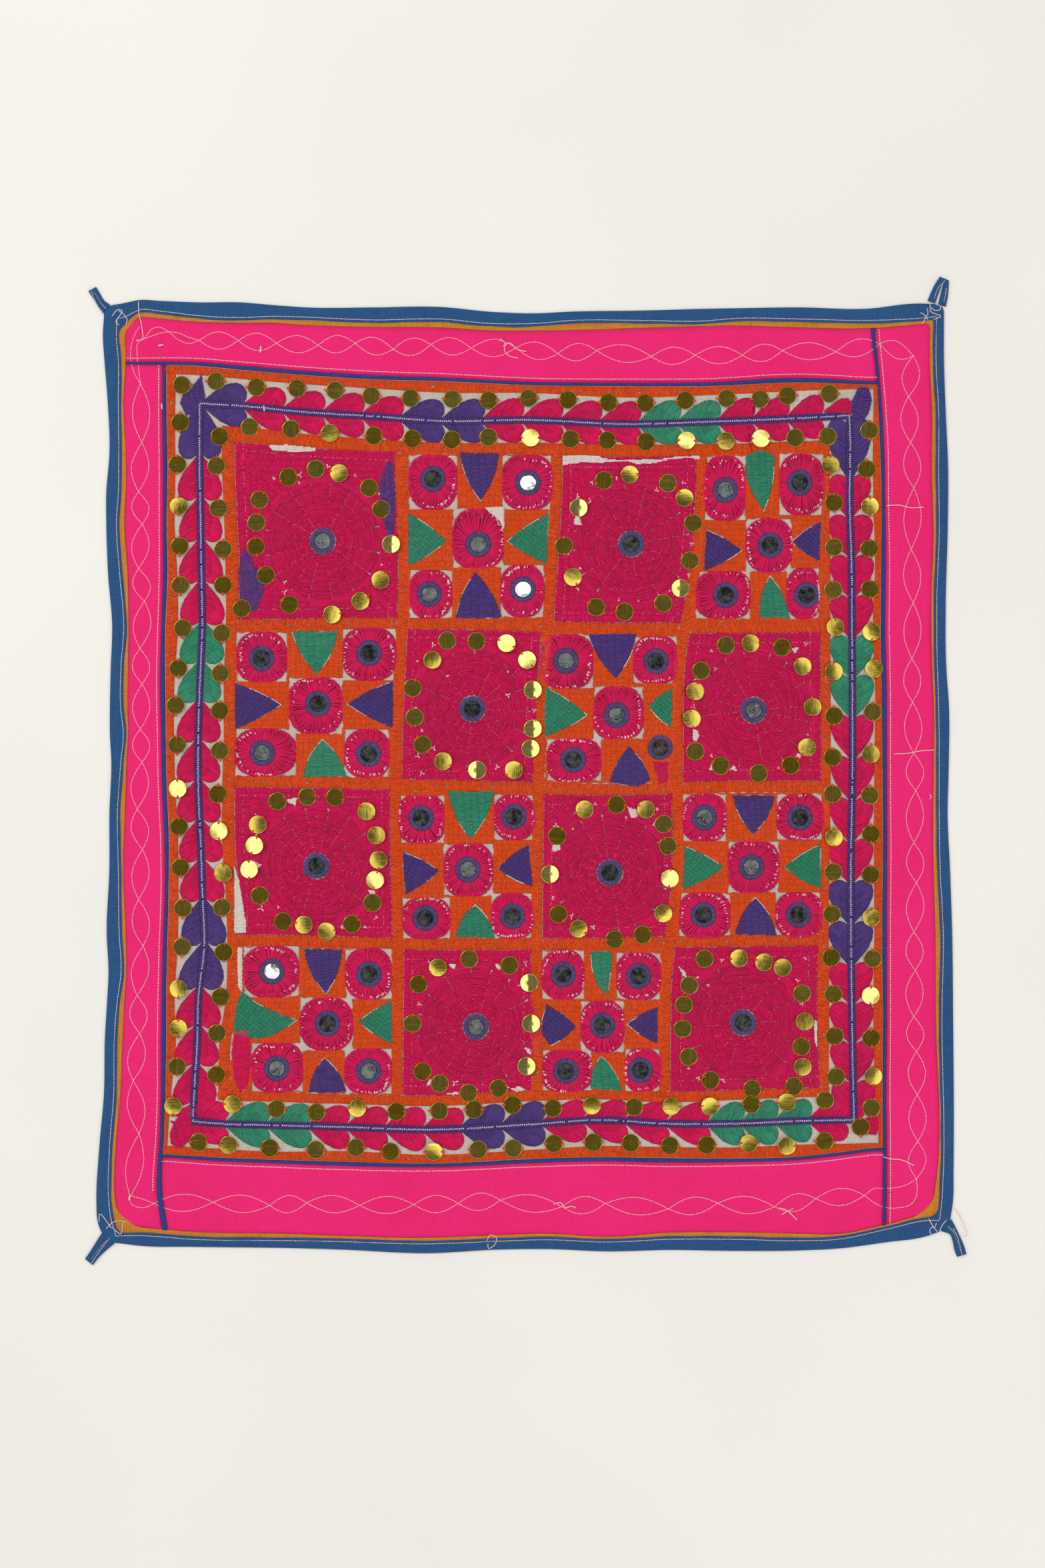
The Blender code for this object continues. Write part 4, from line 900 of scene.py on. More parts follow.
def leaf_places():
    """Tip, round end, outward side and colour of every leaf along the vine."""
    for side, (stop, *runs) in LEAF_RUNS.items():
        flat = side in HORIZONTAL
        for run in runs:
            start, (stop, pairs, shade) = stop, run
            pitch = (stop - start) / pairs
            for n in range(pairs):
                for hand in (-1, 1):
                    at = start + pitch * np.array([n, n + 1]) + (0, math.copysign(LEAF_LAP, pitch))
                    line = flat, lambda at: LINES[side, "vine"](at) + hand * VINE_HALF
                    yield *on_line(line, at), np.array(placed(flat, 0.0, hand)), shade


def leaf_strands(threads, tip, end, out):
    """One leaf beside the vine: two rows of strands whose ends go round its broad end."""
    share_rim, far_rim, wide_rim = zip(*LEAF_RIM)
    along = end - tip
    count = int(np.linalg.norm(along) / LEAF_PITCH)
    width = LEAF_WIDTH * RNG.uniform(0.97, 1.06)
    drift = RNG.uniform(0, 6)
    for row in (0, 1):
        t = (np.arange(count) + 0.5 * row) / count
        foot = LEAF_FOOT * t[:, None]
        far = np.interp(t, share_rim, far_rim)[:, None]
        most = np.interp(t, share_rim, wide_rim)[:, None]
        middle = 0.5 + 0.06 * np.sin(t * 16 + drift) + vary(0.05, count)
        start = middle - ROW_OVERLAP / 2 if row else 0 * t
        stop = 0 * t + 1 if row else middle + ROW_OVERLAP / 2
        share = between(start, stop)
        w = most * share
        w[:, 0] += vary(0.012, count)
        w[:, -1] += vary(0.014, count)
        lean = 0.02 * (1 if row else -1) * (SHORT - 0.5)
        bend = foot + (far - foot) * share**1.15 + lean + vary(0.004, (count, 1))
        spots = tip + along * bend[..., None] + out * (width * w)[..., None]
        z = STITCH_FOOT + 0.6 * 4 * share * (1 - share) + vary(0.06, (count, 1))
        stout = np.interp(t, *zip(*LEAF_STOUT)) if row else 1.35
        threads.sew(spots[..., 0], spots[..., 1], z, END_DROP, width=stout)


# The vine's braid: half its width, and its chain of light stitches, some of them hidden.
BRAID_HALF = 4.1
CHAIN_PITCH = 2.3
CHAIN_SHOWN = 0.94


def braid(purple, chain):
    """The purple braid along the vine, with its chain of light stitches."""
    for side in SIDES:
        flat, middle = side_line(side, "vine")
        low, high = [along_at(side, end, "vine", "vine") for end in ENDS[flat]]
        for hand in (-1, 1):
            satin(purple, flat, middle, lambda at: middle(at) + hand * BRAID_HALF, low, high,
                  rows=1, bulge=0.3, lean=2.2, jag=0.2, base=GROUND_TOP + 1.15, pitch=1.45)
        count = int((high - low) / CHAIN_PITCH)
        at = low + (high - low) * (np.arange(count) + 0.5) / count
        across = middle(at)[:, None] + 2.4 * DOT_STOPS + vary(0.25, (count, 1))
        x, y = placed(flat, at[:, None] + 1.5 * DOT_STOPS, across)
        shown = RNG.random(count) < CHAIN_SHOWN
        chain.sew(x[shown], y[shown], GROUND_TOP + 1.85, END_DROP, width=1.45, thick=0.4)


FLOWER_REACH = 68.0
FLOWER_TIP = 9.0
PETAL_COUNT = 16
PETAL_PITCH = 1.28
PETAL_LAP = 0.55
# How far the strands bow outwards in a petal, and the pitch of the pale dots between two petals.
PETAL_BOW, PETAL_DOTS = 1.9, 2.3


def petals(pink, pale, centre):
    """Sixteen petals of curved strands round a mirror, and the pale dots of the seams between."""
    turn = RNG.uniform(0, TURN)
    marks = turn + TURN * (np.arange(PETAL_COUNT) + vary(0.16, PETAL_COUNT)) / PETAL_COUNT
    marks = np.append(marks, marks[0] + TURN)
    reach = FLOWER_REACH + vary(3.0, PETAL_COUNT)
    for i in range(PETAL_COUNT):
        low, high = marks[i], marks[i + 1]
        r = np.arange(RING_RADIUS - 0.5, reach[i], PETAL_PITCH)
        r = r + vary(0.15, len(r))
        past = np.clip((r - (reach[i] - FLOWER_TIP)) / FLOWER_TIP, 0, 1)
        half = (high - low) / 2 * np.sqrt(1 - 0.55 * past**2) + PETAL_LAP / r
        split = vary(0.16, len(r))
        for part in range(2):
            start = split - 0.1 if part else np.full(len(r), -1.0)
            stop = np.full(len(r), 1.0) if part else split + 0.1
            share = between(start, stop)
            jag = vary(0.3, (len(r), 4)) / r[:, None] * [1, 0, 0, 1]
            angle = (low + high) / 2 + share * half[:, None] + jag
            lean = 1.5 * (1 if part else -1) * (SHORT - 0.5)
            bow = r[:, None] + PETAL_BOW * (1 - share**2) * np.minimum(r * half / 10, 1.3)[:, None] + lean
            x, y = polar(centre, bow + 0.5 * PITCH * part, angle)
            pink.sew(x, y, STITCH_FOOT + 0.5 * (1 - share**2) + vary(0.07, (len(r), 1)), END_DROP)
        r = np.arange(RING_RADIUS + 3, reach[i] - 2, PETAL_DOTS)
        r = r[RNG.random(len(r)) < RNG.uniform(0.2, 0.75)][:, None] + 0.9 * DOT_STOPS
        x, y = polar(centre, r, low + vary(0.4, (len(r), 1)) / r)
        pale.sew(x, y, PETAL_GAP, width=0.45, thick=0.12)


# How far a fork's arms reach, and how far its outer arms turn away from the middle one.
FORK_REACH, FORK_TURN = (1.8, 4.4), (1.6, 2.4)


def fork(pale, spot):
    """A small fork of bare cloth where two petals part."""
    size = RNG.uniform(*FORK_REACH)
    turn = RNG.uniform(0, TURN)
    for angle in (turn, turn + RNG.uniform(*FORK_TURN), turn - RNG.uniform(*FORK_TURN)):
        x, y = polar(spot, np.linspace(0, size * RNG.uniform(0.5, 1.2), 4), angle)
        pale.sew(x, y, FORK_GAP, width=RNG.uniform(0.9, 1.6), thick=0.1)


# How much of the bare seam along each side of a flower's block shows: top, right, bottom, left. A
# second seam lies deeper in the block.
SEAM_SHOWN = (0.1, 0.4, 0.2, 0.8)
SEAM_DEPTH, DEEP_SHOWN, DEEP_DEPTH = 0.2, 0.4, 9.0
SEAM_PITCH = 1.9
# The strands of the frame, how far they go under the petals, and how much each area is enlarged.
FRAME_FILL = {"length": 6.6, "lean": 1.9, "bulge": 0.35, "pitch": 1.25}
FRAME_LAP, FRAME_MORE = 4.0, 0.012


def flower_frame(pink, pale, row, column):
    """The strands between a round flower and the sides of its block, perpendicular to each side."""
    centre = np.array(FLOWERS[row, column])
    lines = block_lines(row, column)
    corners = corners_of(lines)
    turns = np.linspace(0, TURN, 48, endpoint=False)
    hole = np.stack(polar(centre, FLOWER_REACH - FRAME_LAP, turns), axis=1)
    for i, (flat, edge) in enumerate(lines):
        axis = 0 if flat else 1
        at = np.linspace(corners[i][axis], corners[(i + 1) % 4][axis], 7)
        area = np.concatenate([on_line((flat, edge), at), [centre]])
        area = area + (area - area.mean(axis=0)) * FRAME_MORE
        fill(pink, area, 90 if flat else 0, holes=[hole], **FRAME_FILL)
        outward = 1 if i in (0, 1) else -1
        for depth, shown in ((DEEP_DEPTH * RNG.uniform(0.9, 1.3), DEEP_SHOWN), (SEAM_DEPTH, SEAM_SHOWN[i])):
            seam = np.arange(min(at) + 2, max(at) - 2, SEAM_PITCH)
            seam = seam[RNG.random(len(seam)) < shown]
            across = (edge(seam) - outward * depth)[:, None] + vary(0.3, (len(seam), 1))
            x, y = placed(flat, seam[:, None] + DOT_STOPS, across)
            pale.sew(x, y, FRAME_GAP, width=0.6, thick=0.12)


# A mirror's ring: how many spokes, where they start, their stops and their heights at those, and
# the bead inside.
SPOKES, SPOKE_START = 58, 8.6
SPOKE_STOPS = np.array([0.0, 0.2, 0.6, 1.0])
SPOKE_HEIGHTS = np.array([2.75, 3.35, 3.15, 1.7])
BEAD_STITCHES, BEAD_RADIUS, BEAD_HEIGHT = 22, 8.75, 2.95


def mirror_ring(purple, dark, centre):
    """The purple ring that holds a mirror: spokes over its rim, with a darker bead inside."""
    angle = TURN * (np.arange(SPOKES) + vary(0.2, SPOKES)) / SPOKES
    wobble = 1 + 0.035 * np.sin(2 * angle + RNG.uniform(0, 6)) + 0.03 * np.sin(3 * angle + RNG.uniform(0, 6))
    reach = RING_RADIUS * wobble + vary(0.3, SPOKES) - SPOKE_START
    x, y = polar(centre, SPOKE_START + reach[:, None] * SPOKE_STOPS, angle[:, None] + 0.03 * SPOKE_STOPS)
    purple.sew(x, y, SPOKE_HEIGHTS + vary(0.08, (SPOKES, 1)), width=1.45, thick=0.4)
    angle = TURN * (np.arange(BEAD_STITCHES)[:, None] + 1.1 * DOT_STOPS) / BEAD_STITCHES
    x, y = polar(centre, BEAD_RADIUS, angle)
    dark.sew(x, y, BEAD_HEIGHT, width=0.6, thick=0.3)


# An eyelet: where its strands start, how many there are in its two rows and how wide they are, their
# heights at their stops, and the wide spokes of the bed under them, which are painted dark as the shade
# between the strands.
EYELET_INNER = 13.2
EYELET_START = EYELET_INNER + 0.2
EYELET_LAP = 0.8
EYELET_ROWS = ((100, 1.9), (140, 2.0))
EYELET_HEIGHTS = np.array([1.85, 2.2, 2.1, 1.75])
BED_SPOKES, BED_HEIGHT = 28, 1.75


def eyelet_edge(angle, shape):
    """How far an eyelet reaches: its half width and height to each side, a rounded square."""
    right, left, up, down, square = shape
    c, s = np.cos(angle), np.sin(angle)
    wide, tall = np.where(c > 0, right, left), np.where(s > 0, up, down)
    return (np.abs(c / wide) ** square + np.abs(s / tall) ** square) ** (-1 / square)


def eyelet_shapes():
    """Reach of every eyelet to its right, left, top and bottom, and how square it is."""
    shapes = {}
    for block, centres in EYELETS.items():
        for (x, y), (left, right, top, bottom) in zip(centres, EYELET_EDGES[block]):
            (low_x, high_y), (high_x, low_y) = from_photo([(left, top), (right, bottom)])
            shapes[x, y] = (high_x - x, x - low_x, high_y - y, y - low_y, RNG.uniform(2.4, 3.1))
    return shapes


def eyelet(pink, pale, centre, shape):
    """A pink eyelet round a ringed mirror: two rings of spokes, with pale slots where they meet."""
    seam = RNG.uniform(0.7, 0.8)
    wave = RNG.uniform(0, 6)

    def meeting(angle, spread):
        share = seam + 0.08 * np.sin(3 * angle + wave) + vary(spread, len(angle))
        return EYELET_INNER + (eyelet_edge(angle, shape) - EYELET_INNER) * share

    angle = TURN * np.arange(BED_SPOKES) / BED_SPOKES
    r = EYELET_START + (eyelet_edge(angle, shape) - EYELET_INNER - 1.4)[:, None] * SHORT
    x, y = polar(centre, r, angle[:, None])
    # Painted shade: a dark bed under the spokes, so that the gaps between them look shaded.
    pink.sew(x, y, BED_HEIGHT, width=6.0, thick=0.1, tone=(0.1, 0.3))
    for row, (count, width) in enumerate(EYELET_ROWS):
        angle = TURN * (np.arange(count) + vary(0.3, count)) / count
        meet = meeting(angle, 0.07)
        start = meet - EYELET_LAP if row else np.full(count, EYELET_START)
        reach = eyelet_edge(angle, shape) + vary(0.35, count) if row else meet + EYELET_LAP
        swirl = vary(0.02, (count, 1)) + 0.05 * (1 if row else -1) * (SHORT - 0.5)
        x, y = polar(centre, between(start, reach), angle[:, None] + swirl)
        pink.sew(x, y, EYELET_HEIGHTS + 0.1 * row + vary(0.08, (count, 1)), width=width, thick=0.7)
    count = RNG.integers(24, 40)
    middle = RNG.uniform(0, TURN, 3)
    angle = middle[RNG.integers(0, 3, count)] + RNG.normal(0, 0.5, count)
    r = meeting(angle, 0.06)[:, None]
    x, y = polar(centre, r + RNG.uniform(1.2, 3.6, count)[:, None] * DOT_STOPS, angle[:, None])
    pale.sew(x, y, SLOT_GAP, width=RNG.uniform(0.6, 1.3, count), thick=0.12)


def wedge_outline(spots, bow):
    """The outline of a triangle motif: its sides bow outwards from the block's edge to the tip."""
    path = from_photo(spots)
    if len(path) > 3:
        return path
    first, second, tip = path
    line = [first]
    for a, b in ((first, tip), (tip, second)):
        away = np.array([-(b - a)[1], (b - a)[0]]) / math.dist(a, b)
        away = away * math.copysign(bow, away @ ((a + b) / 2 - path.mean(axis=0)))
        for share in np.linspace(0, 1, 7)[1:]:
            line.append(a + (b - a) * share + away * math.sin(math.pi * share))
    return np.array(line)


def sliver(pale, path):
    """Bare cloth that shows along a part of a motif's edge, ragged by the ends of the strands."""
    gone = far_along(path)
    start = RNG.uniform(0, 0.7) * gone[-1]
    at = np.arange(start, min(start + RNG.uniform(10, 26), gone[-1]), 1.0)
    if not len(at):
        return
    spots = np.stack([np.interp(at, gone, path[:, k]) for k in (0, 1)], axis=1) + vary(0.2, (len(at), 2))
    reach = RNG.uniform(0.3, 1.5, len(at))[:, None] * DOT_STOPS
    pale.sew(spots[:, :1] + reach, spots[:, 1:], SLIVER_GAP, width=1.1, thick=0.1)


# Angle, length, height and lean of the strands in the upper and lower triangles, and in the others.
UPRIGHT_FILL = (3, {"length": 8.0, "bulge": 0.6, "lean": 1.2})
SIDEWAYS_FILL = (52, {"length": 4.4, "bulge": 0.6, "lean": 0.5, "pitch": 1.3})
# How far the bare square under an eyelet stays inside the eyelet's own reach.
SQUARE_INSET = 1.2


def eyelet_square(centre, shape):
    """The square patch of bare cloth that an eyelet stands on."""
    x, y = centre
    right, left, up, down = (reach - SQUARE_INSET for reach in shape[:4])
    return [(x - left, y - down), (x + right, y - down), (x + right, y + up), (x - left, y + up)]


def eyelet_block(kinds, row, column, shapes):
    """The filling, the four triangles and the eyelets of a block."""
    corners = corners_of(block_lines(row, column))
    centres = [centre for centre in EYELETS[row, column] if centre not in WITHOUT_EYELET]
    wedges = [wedge_outline(*pair) for pair in zip(WEDGES[row, column], WEDGE_BOW)]
    holes = [eyelet_square(centre, shapes[centre]) for centre in centres] + wedges
    for i in range(4):
        zone = np.array([corners[i], corners[(i + 1) % 4], corners.mean(axis=0)])
        zone = zone + (zone - zone.mean(axis=0)) * 0.02
        fill(kinds["filler"], zone, 90 * (i % 2), holes=holes)
    for side, path in enumerate(wedges):
        upright = side % 2 == 0
        shade = "purple" if upright == ((row, column) in PURPLE_FIRST) else "green"
        angle, look = UPRIGHT_FILL if upright else SIDEWAYS_FILL
        fill(kinds[shade], path, angle, **look)
        sliver(kinds["pale"], path)
        sliver(kinds["pale"], path)
    for centre in centres:
        eyelet(kinds["eyelet"], kinds["pale"], centre, shapes[centre])


SEQUIN_RADIUS = 9.85
SEQUIN_RINGS = (5.0, 9.4, SEQUIN_RADIUS)
SEQUIN_SIDES = 28
SEQUIN_LEVEL = 3.3
# How far a sequin's rim is turned down, and how far from its middle its stitches go in.
SEQUIN_RIM, TUFT_REACH = 0.3, 9.3
# How far from straight up each look of sequin throws the light, in radians, and how far off the eye is.
GLINTS = {"B": 0.46, "G": 0.322}
FOLDED = {"H": 1, "L": -1}
FOLD_ANGLE = 0.48
CAMERA_FAR = 4054.0
# How high each look is dished, and how high the first stops of a sequin's stitches stand over it.
DISHED = {"B": 0.4, "G": 0.3}
TUFT_RISE = np.array([0.3, 0.6, 0.35])


def sequin_places():
    """Middle, direction of its two stitches and look of every sequin."""
    for table in (SEQUIN_ROWS, SEQUIN_ROUNDS):
        for key, spots in table.items():
            for spot, place in zip(spots, from_photo(spots)):
                if key in FLOWERS:
                    out = place - np.array(FLOWERS[key])
                    run = np.array([-out[1], out[0]]) / np.linalg.norm(out)
                else:
                    run = np.array(placed(key.startswith(HORIZONTAL), 1.0, 0.0))
                yield place, run, spot[2] if len(spot) > 2 else ""


def disc(radii, sides):
    """Points of a disc: its middle, rings at each radius, and the outermost ring once more."""
    angle = TURN * np.arange(sides) / sides
    rings = [r * np.stack([np.cos(angle), np.sin(angle)], axis=1) for r in radii]
    return np.concatenate([np.zeros((1, 2)), *rings, rings[-1]])


def fan(sides):
    """The triangles round the middle of a disc."""
    return [(0, 1 + i, 1 + (i + 1) % sides) for i in range(sides)]


def sequins(material, tufts):
    """Thin gilt discs, a little dished, bent or tilted, each held by two orange stitches."""
    points, faces, tones = [], [], []
    flat = disc(SEQUIN_RINGS, SEQUIN_SIDES)
    sheet_faces = fan(SEQUIN_SIDES)
    for a in range(1, 1 + 3 * SEQUIN_SIDES, SEQUIN_SIDES):
        for i in range(SEQUIN_SIDES):
            b, c = a + i, a + (i + 1) % SEQUIN_SIDES
            sheet_faces += [(b, b + SEQUIN_SIDES, c + SEQUIN_SIDES), (b, c + SEQUIN_SIDES, c)]
    for place, run, look in sequin_places():
        far = float(np.linalg.norm(place))
        if look in GLINTS:
            tilt_way = math.atan2(-place[1], -place[0]) + vary(0.5, 1)[0]
            tilt = (GLINTS[look] - far / CAMERA_FAR) / 2 + vary(0.02, 1)[0]
        else:
            tilt_way, tilt = RNG.uniform(0, TURN), RNG.uniform(0.0, 0.03)
        slope = tilt * np.array([math.cos(tilt_way), math.sin(tilt_way)])
        deep = DISHED.get(look, RNG.uniform(0.02, 0.14))
        dish = RNG.choice((-1, 1)) * deep * (1 - (np.linalg.norm(flat, axis=1) / SEQUIN_RADIUS) ** 2)
        bend_way = RNG.uniform(0, math.pi)
        across = flat @ np.array([math.cos(bend_way), math.sin(bend_way)])
        bend = RNG.uniform(-0.002, 0.002) * across**2
        if look in FOLDED:
            hand = FOLDED[look]
            fold = math.tan((FOLD_ANGLE + hand * place[0] / CAMERA_FAR) / 2)
            bend = bend + fold * np.maximum(hand * flat[:, 0] - 0.5, 0)
        level = SEQUIN_LEVEL + tilt * SEQUIN_RADIUS * 0.8 + float(swell(*place))
        z = level + flat @ slope + dish + bend
        z[-SEQUIN_SIDES:] -= SEQUIN_RIM
        faces.append(np.array(sheet_faces) + len(flat) * len(points))
        points.append(np.column_stack([flat + place, z]))
        # Painted highlight: B, H and L sequins, which catch the light, are painted the bright gilt; G ones
        # get a fixed duller gilt, the rest a random duller gilt.
        tones.append(np.full(len(flat), {"": 0.3 * RNG.random(), "G": 0.25}.get(look, 1.0)))
        for hand in (-1, 1):
            for _ in range(3):
                way = run * hand + vary(0.35, 2)
                spot = place + hand * run * TUFT_REACH + vary(0.7, 2)
                xy = spot + np.linspace(-1.9, 1.7 + RNG.uniform(0, 1.3), 4)[:, None] * way
                z = np.append(level + (xy[:3] - place) @ slope + TUFT_RISE, GROUND_TOP + 0.8)
                tufts.lay(*xy.T, z, width=1.7, thick=0.45)
    piece("sequins", np.concatenate(points), [np.concatenate(faces)], material, np.concatenate(tones))


# Slope of the mirrors that catch the light, across and up, and how much they bulge.
GLASS_LEAN = {
    "mirror_r1c2_tr": (0.03, -0.18, 0.004),
    "mirror_r1c2_br": (0.03, -0.195, 0.001),
    "mirror_r4c1_tl": (0.14, 0.115, 0.004),
}
GLASS_RINGS = (3, 6, 8.5, 8.7)
GLASS_SIDES, GLASS_LEVEL, GLASS_BACK = 32, 3.05, 1.0
# The mirrors painted a dull grey, as a painted reflection of a lighter place. The rest are painted dark.
GREY_PAINTED_MIRRORS = ("r1c1 r1c2_mid r1c2_bl r1c4_tl r2c1_bl r2c3_tl r2c3_mid r2c4 r3c2_mid r3c4_tl r3c4_mid "
                "r4c1_bl r4c1_br r4c2").split()


def tilted_glass(name, centre, material):
    """A mirror that leans and bulges a little, so that it catches the light."""
    n = GLASS_SIDES
    flat = disc(GLASS_RINGS, n)
    *lean, bulge = GLASS_LEAN[name]
    z = GLASS_LEVEL + flat @ np.array(lean) - bulge * (flat**2).sum(axis=1)
    z[-n:] = GLASS_BACK
    quads = [(a + i, a + n + i, a + n + (i + 1) % n, a + (i + 1) % n)
             for a in range(1, 1 + 4 * n, n) for i in range(n)]
    back = [list(range(5 * n, 4 * n, -1))]
    return piece(f"glass_{name[7:]}", np.column_stack([flat + centre, z]), [fan(n), quads, back], material)


BORDER_TOP = 1.35


def border_level(x, y):
    """The face of the border strips, with the soft puckers that the stitching leaves."""
    soft = 0.35 * np.sin(x / 33 + 1.1 * np.sin(y / 57)) * np.cos(y / 39 + 0.9 * np.sin(x / 71))
    crease = 0.12 * np.sin(x / 5.2 + 2.0 * np.sin(y / 23)) * np.sin(y / 6.1 + 1.6 * np.sin(x / 31))
    return BORDER_TOP + soft + crease


def on_border(x, y):
    return border_level(x, y) + 0.12


def net(bounds, step):
    """A grid of points between four lines: top, right, bottom and left."""
    top, right, bottom, left = (line[1] for line in bounds)
    low, high = crossing(bounds[2], bounds[3]), crossing(bounds[0], bounds[1])
    columns, rows = (max(int((high[k] - low[k]) / step), 2) for k in (0, 1))
    u, v = np.meshgrid(np.linspace(0, 1, columns + 1), np.linspace(0, 1, rows + 1))
    x, y = low[0] + u * (high[0] - low[0]), low[1] + v * (high[1] - low[1])
    for _ in range(CROSSING_ROUNDS):
        x, y = left(y) + u * (right(y) - left(y)), bottom(x) + v * (top(x) - bottom(x))
    return x, y


# Size of the cloths' faces, how far their edges go down, and how thin they may get there.
GROUND_STEP, STRIP_STEP = 9.0, 4.2
GROUND_DROP, STRIP_DROP = 0.2, 0.3
THINNEST = 0.3


def cloth(name, bounds, step, level, material, edge_drop):
    """A laid cloth between four lines, with a closed rim and a flat back."""
    x, y = net(bounds, step)
    z = level(x, y)
    z[[0, -1]] -= edge_drop
    z[:, [0, -1]] -= edge_drop
    rows, columns = x.shape
    index = np.arange(rows * columns).reshape(rows, columns)
    quads = np.stack([index[:-1, :-1], index[:-1, 1:], index[1:, 1:], index[1:, :-1]], axis=-1).reshape(-1, 4)
    rim = np.concatenate([index[0, :-1], index[:-1, -1], index[-1, :0:-1], index[:0:-1, 0]])
    points = np.column_stack([x.ravel(), y.ravel(), np.maximum(z, THINNEST).ravel()])
    back = len(points) + np.arange(len(rim))
    walls = np.stack([rim, back, np.roll(back, -1), np.roll(rim, -1)], axis=1)
    points = np.concatenate([points, points[rim] * (1, 1, 0)])
    return piece(name, points, [quads, walls, back[::-1][None]], material)


def loft(first, second, section, wave, closed, lifted=1.0):
    """Points and faces of a tape between two matching paths. section has a row for each line round
    its edge: a share across the tape and a height. wave is how far the lines that are higher than
    lifted are raised, as a function of the share along the tape."""
    around, level = np.array(section).T
    count, lines = len(first), len(around)
    share = np.broadcast_to(around, (count, lines))[..., None]
    height = level + wave(np.arange(count) / count)[:, None] * (level > lifted)
    xy = first[:, None, :] * (1 - share) + second[:, None, :] * share
    index = np.arange(count * lines).reshape(count, lines)
    here, after = (index, np.roll(index, -1, axis=0)) if closed else (index[:-1], index[1:])
    quads = [here, np.roll(here, -1, axis=1), np.roll(after, -1, axis=1), after]
    quads = np.stack(quads, axis=-1).reshape(-1, 4)
    parts = [quads] if closed else [quads, index[0][::-1][None], index[-1][None]]
    # The faces look outwards when the second path is to the right of the first.
    across, step = (second - first)[:-1], np.diff(first, axis=0)
    if np.sum(across[:, 0] * step[:, 1] - across[:, 1] * step[:, 0]) < 0:
        parts = [part[:, ::-1] for part in parts]
    return np.concatenate([xy, height[..., None]], axis=2).reshape(-1, 3), parts


def tape(name, lofts, material):
    """One piece of several lofts, their faces sorted by their number of corners."""
    count, joined = 0, {}
    for points, parts in lofts:
        for part in parts:
            joined.setdefault(part.shape[1], []).append(part + count)
        count += len(points)
    faces = [np.concatenate(same) for same in joined.values()]
    return piece(name, np.concatenate([points for points, _ in lofts]), faces, material)


# Where each arm of the piping starts and stops: the line that it goes on to at its first and last end.
PIPING_ENDS = {
    "top": ("trim_in", "pipe_in"),
    "right": ("trim_in", "trim_in"),
    "bottom": ("pipe_in", "pipe_in"),
    "left": ("trim_in", "pipe_in"),
}
# Lines round the edge of each tape: share across it, height.
PIPING_SECTION = ((0, 0.2), (0.06, 1.5), (0.3, 2.5), (0.7, 2.5), (0.94, 1.6), (1, 0.2))
BINDING_SECTION = ((0.03, 0), (0, 0.6), (0.02, 1.4), (0.12, 2.2), (0.45, 2.5), (0.72, 2.3), (0.8, 2.05),
                   (0.97, 2.15), (1, 1.6), (0.97, 0))
TRIM_SECTION = ((0, 0.2), (0, 1.75), (0.9, 1.75), (1, 1.5), (1, 0.2))
LOOP_SECTION = ((0.04, 0), (0, 0.9), (0.1, 1.9), (0.5, 2.05), (0.9, 1.9), (1, 0.9), (0.96, 0))
PIPING_STEP = 3.0
# How far the top arm of the piping lies over the others.
PIPING_LAP = 0.25
LOOP_STATIONS = 14
FRAME_STATIONS = 230


def piping(material):
    """The rolled piping, one arm a side, its ends laid past the panel like a pinwheel."""
    lofts = []
    for side, lines in PIPING_ENDS.items():
        ends = ENDS[side in HORIZONTAL]
        start, stop = [along_at(side, end, "pipe_in", line) for end, line in zip(ends, lines)]
        marks = np.linspace(start, stop, max(int(abs(stop - start) / PIPING_STEP), 3))
        edges = [on_line(side_line(side, name), marks) for name in ("pipe_out", "pipe_in")]
        points, parts = loft(*edges, PIPING_SECTION, lambda where: 0.16 * np.sin(where * 260), False)
        if side == "top":
            points[:, 2] += PIPING_LAP
        lofts.append((points, parts))
    return tape("piping_roll", lofts, material)


def frame_path(name, rounding=(0, 0, 0, 0), inset=0.0, count=FRAME_STATIONS):
    """The same number of points right round any line of the sides, its corners rounded."""
    lines = [side_line(side, name, inset) for side in SIDES]
    corners = corners_of(lines)
    path = []
    for i, line in enumerate(lines):
        axis = 0 if line[0] else 1
        a, b = corners[i][axis], corners[(i + 1) % 4][axis]
        at = a + (b - a) * np.arange(count) / count
        spots = on_line(line, at)
        way = math.copysign(1, b - a)
        for end, radius, hand in ((a, rounding[i], way), (b, rounding[(i + 1) % 4], -way)):
            if radius:
                far = np.abs(at - end)
                turn = np.clip(1 - far / radius, 0, 1) * math.pi / 4
                spots[:, axis] += np.where(far < radius, hand * (radius * (1 - np.sin(turn)) - far), 0)
                spots[:, 1 - axis] += INWARD[SIDES[i]] * radius * (1 - np.cos(turn))
        path.append(spots)
    return np.concatenate(path)


def binding(material):
    """The folded blue binding: a rounded outer edge, a soft crown and a hem line inside."""
    edges = frame_path("edge", EDGE_ROUNDING), frame_path("binding_in", BINDING_ROUNDING, -0.1)
    made = loft(*edges, BINDING_SECTION, lambda where: 0.22 * np.sin(where * 410 + 2 * np.sin(where * 67)),
                True, 1.5)
    return tape("binding_tape", [made], material)


def trim(material):
    """The thin strip that shows between the binding and the border."""
    edges = frame_path("binding_in", inset=-1.5), frame_path("trim_in", TRIM_ROUNDING)
    made = loft(*edges, TRIM_SECTION, lambda where: 0.1 * np.sin(where * 520 + 3 * np.sin(where * 31)), True)
    return tape("trim_cloth", [made], material)


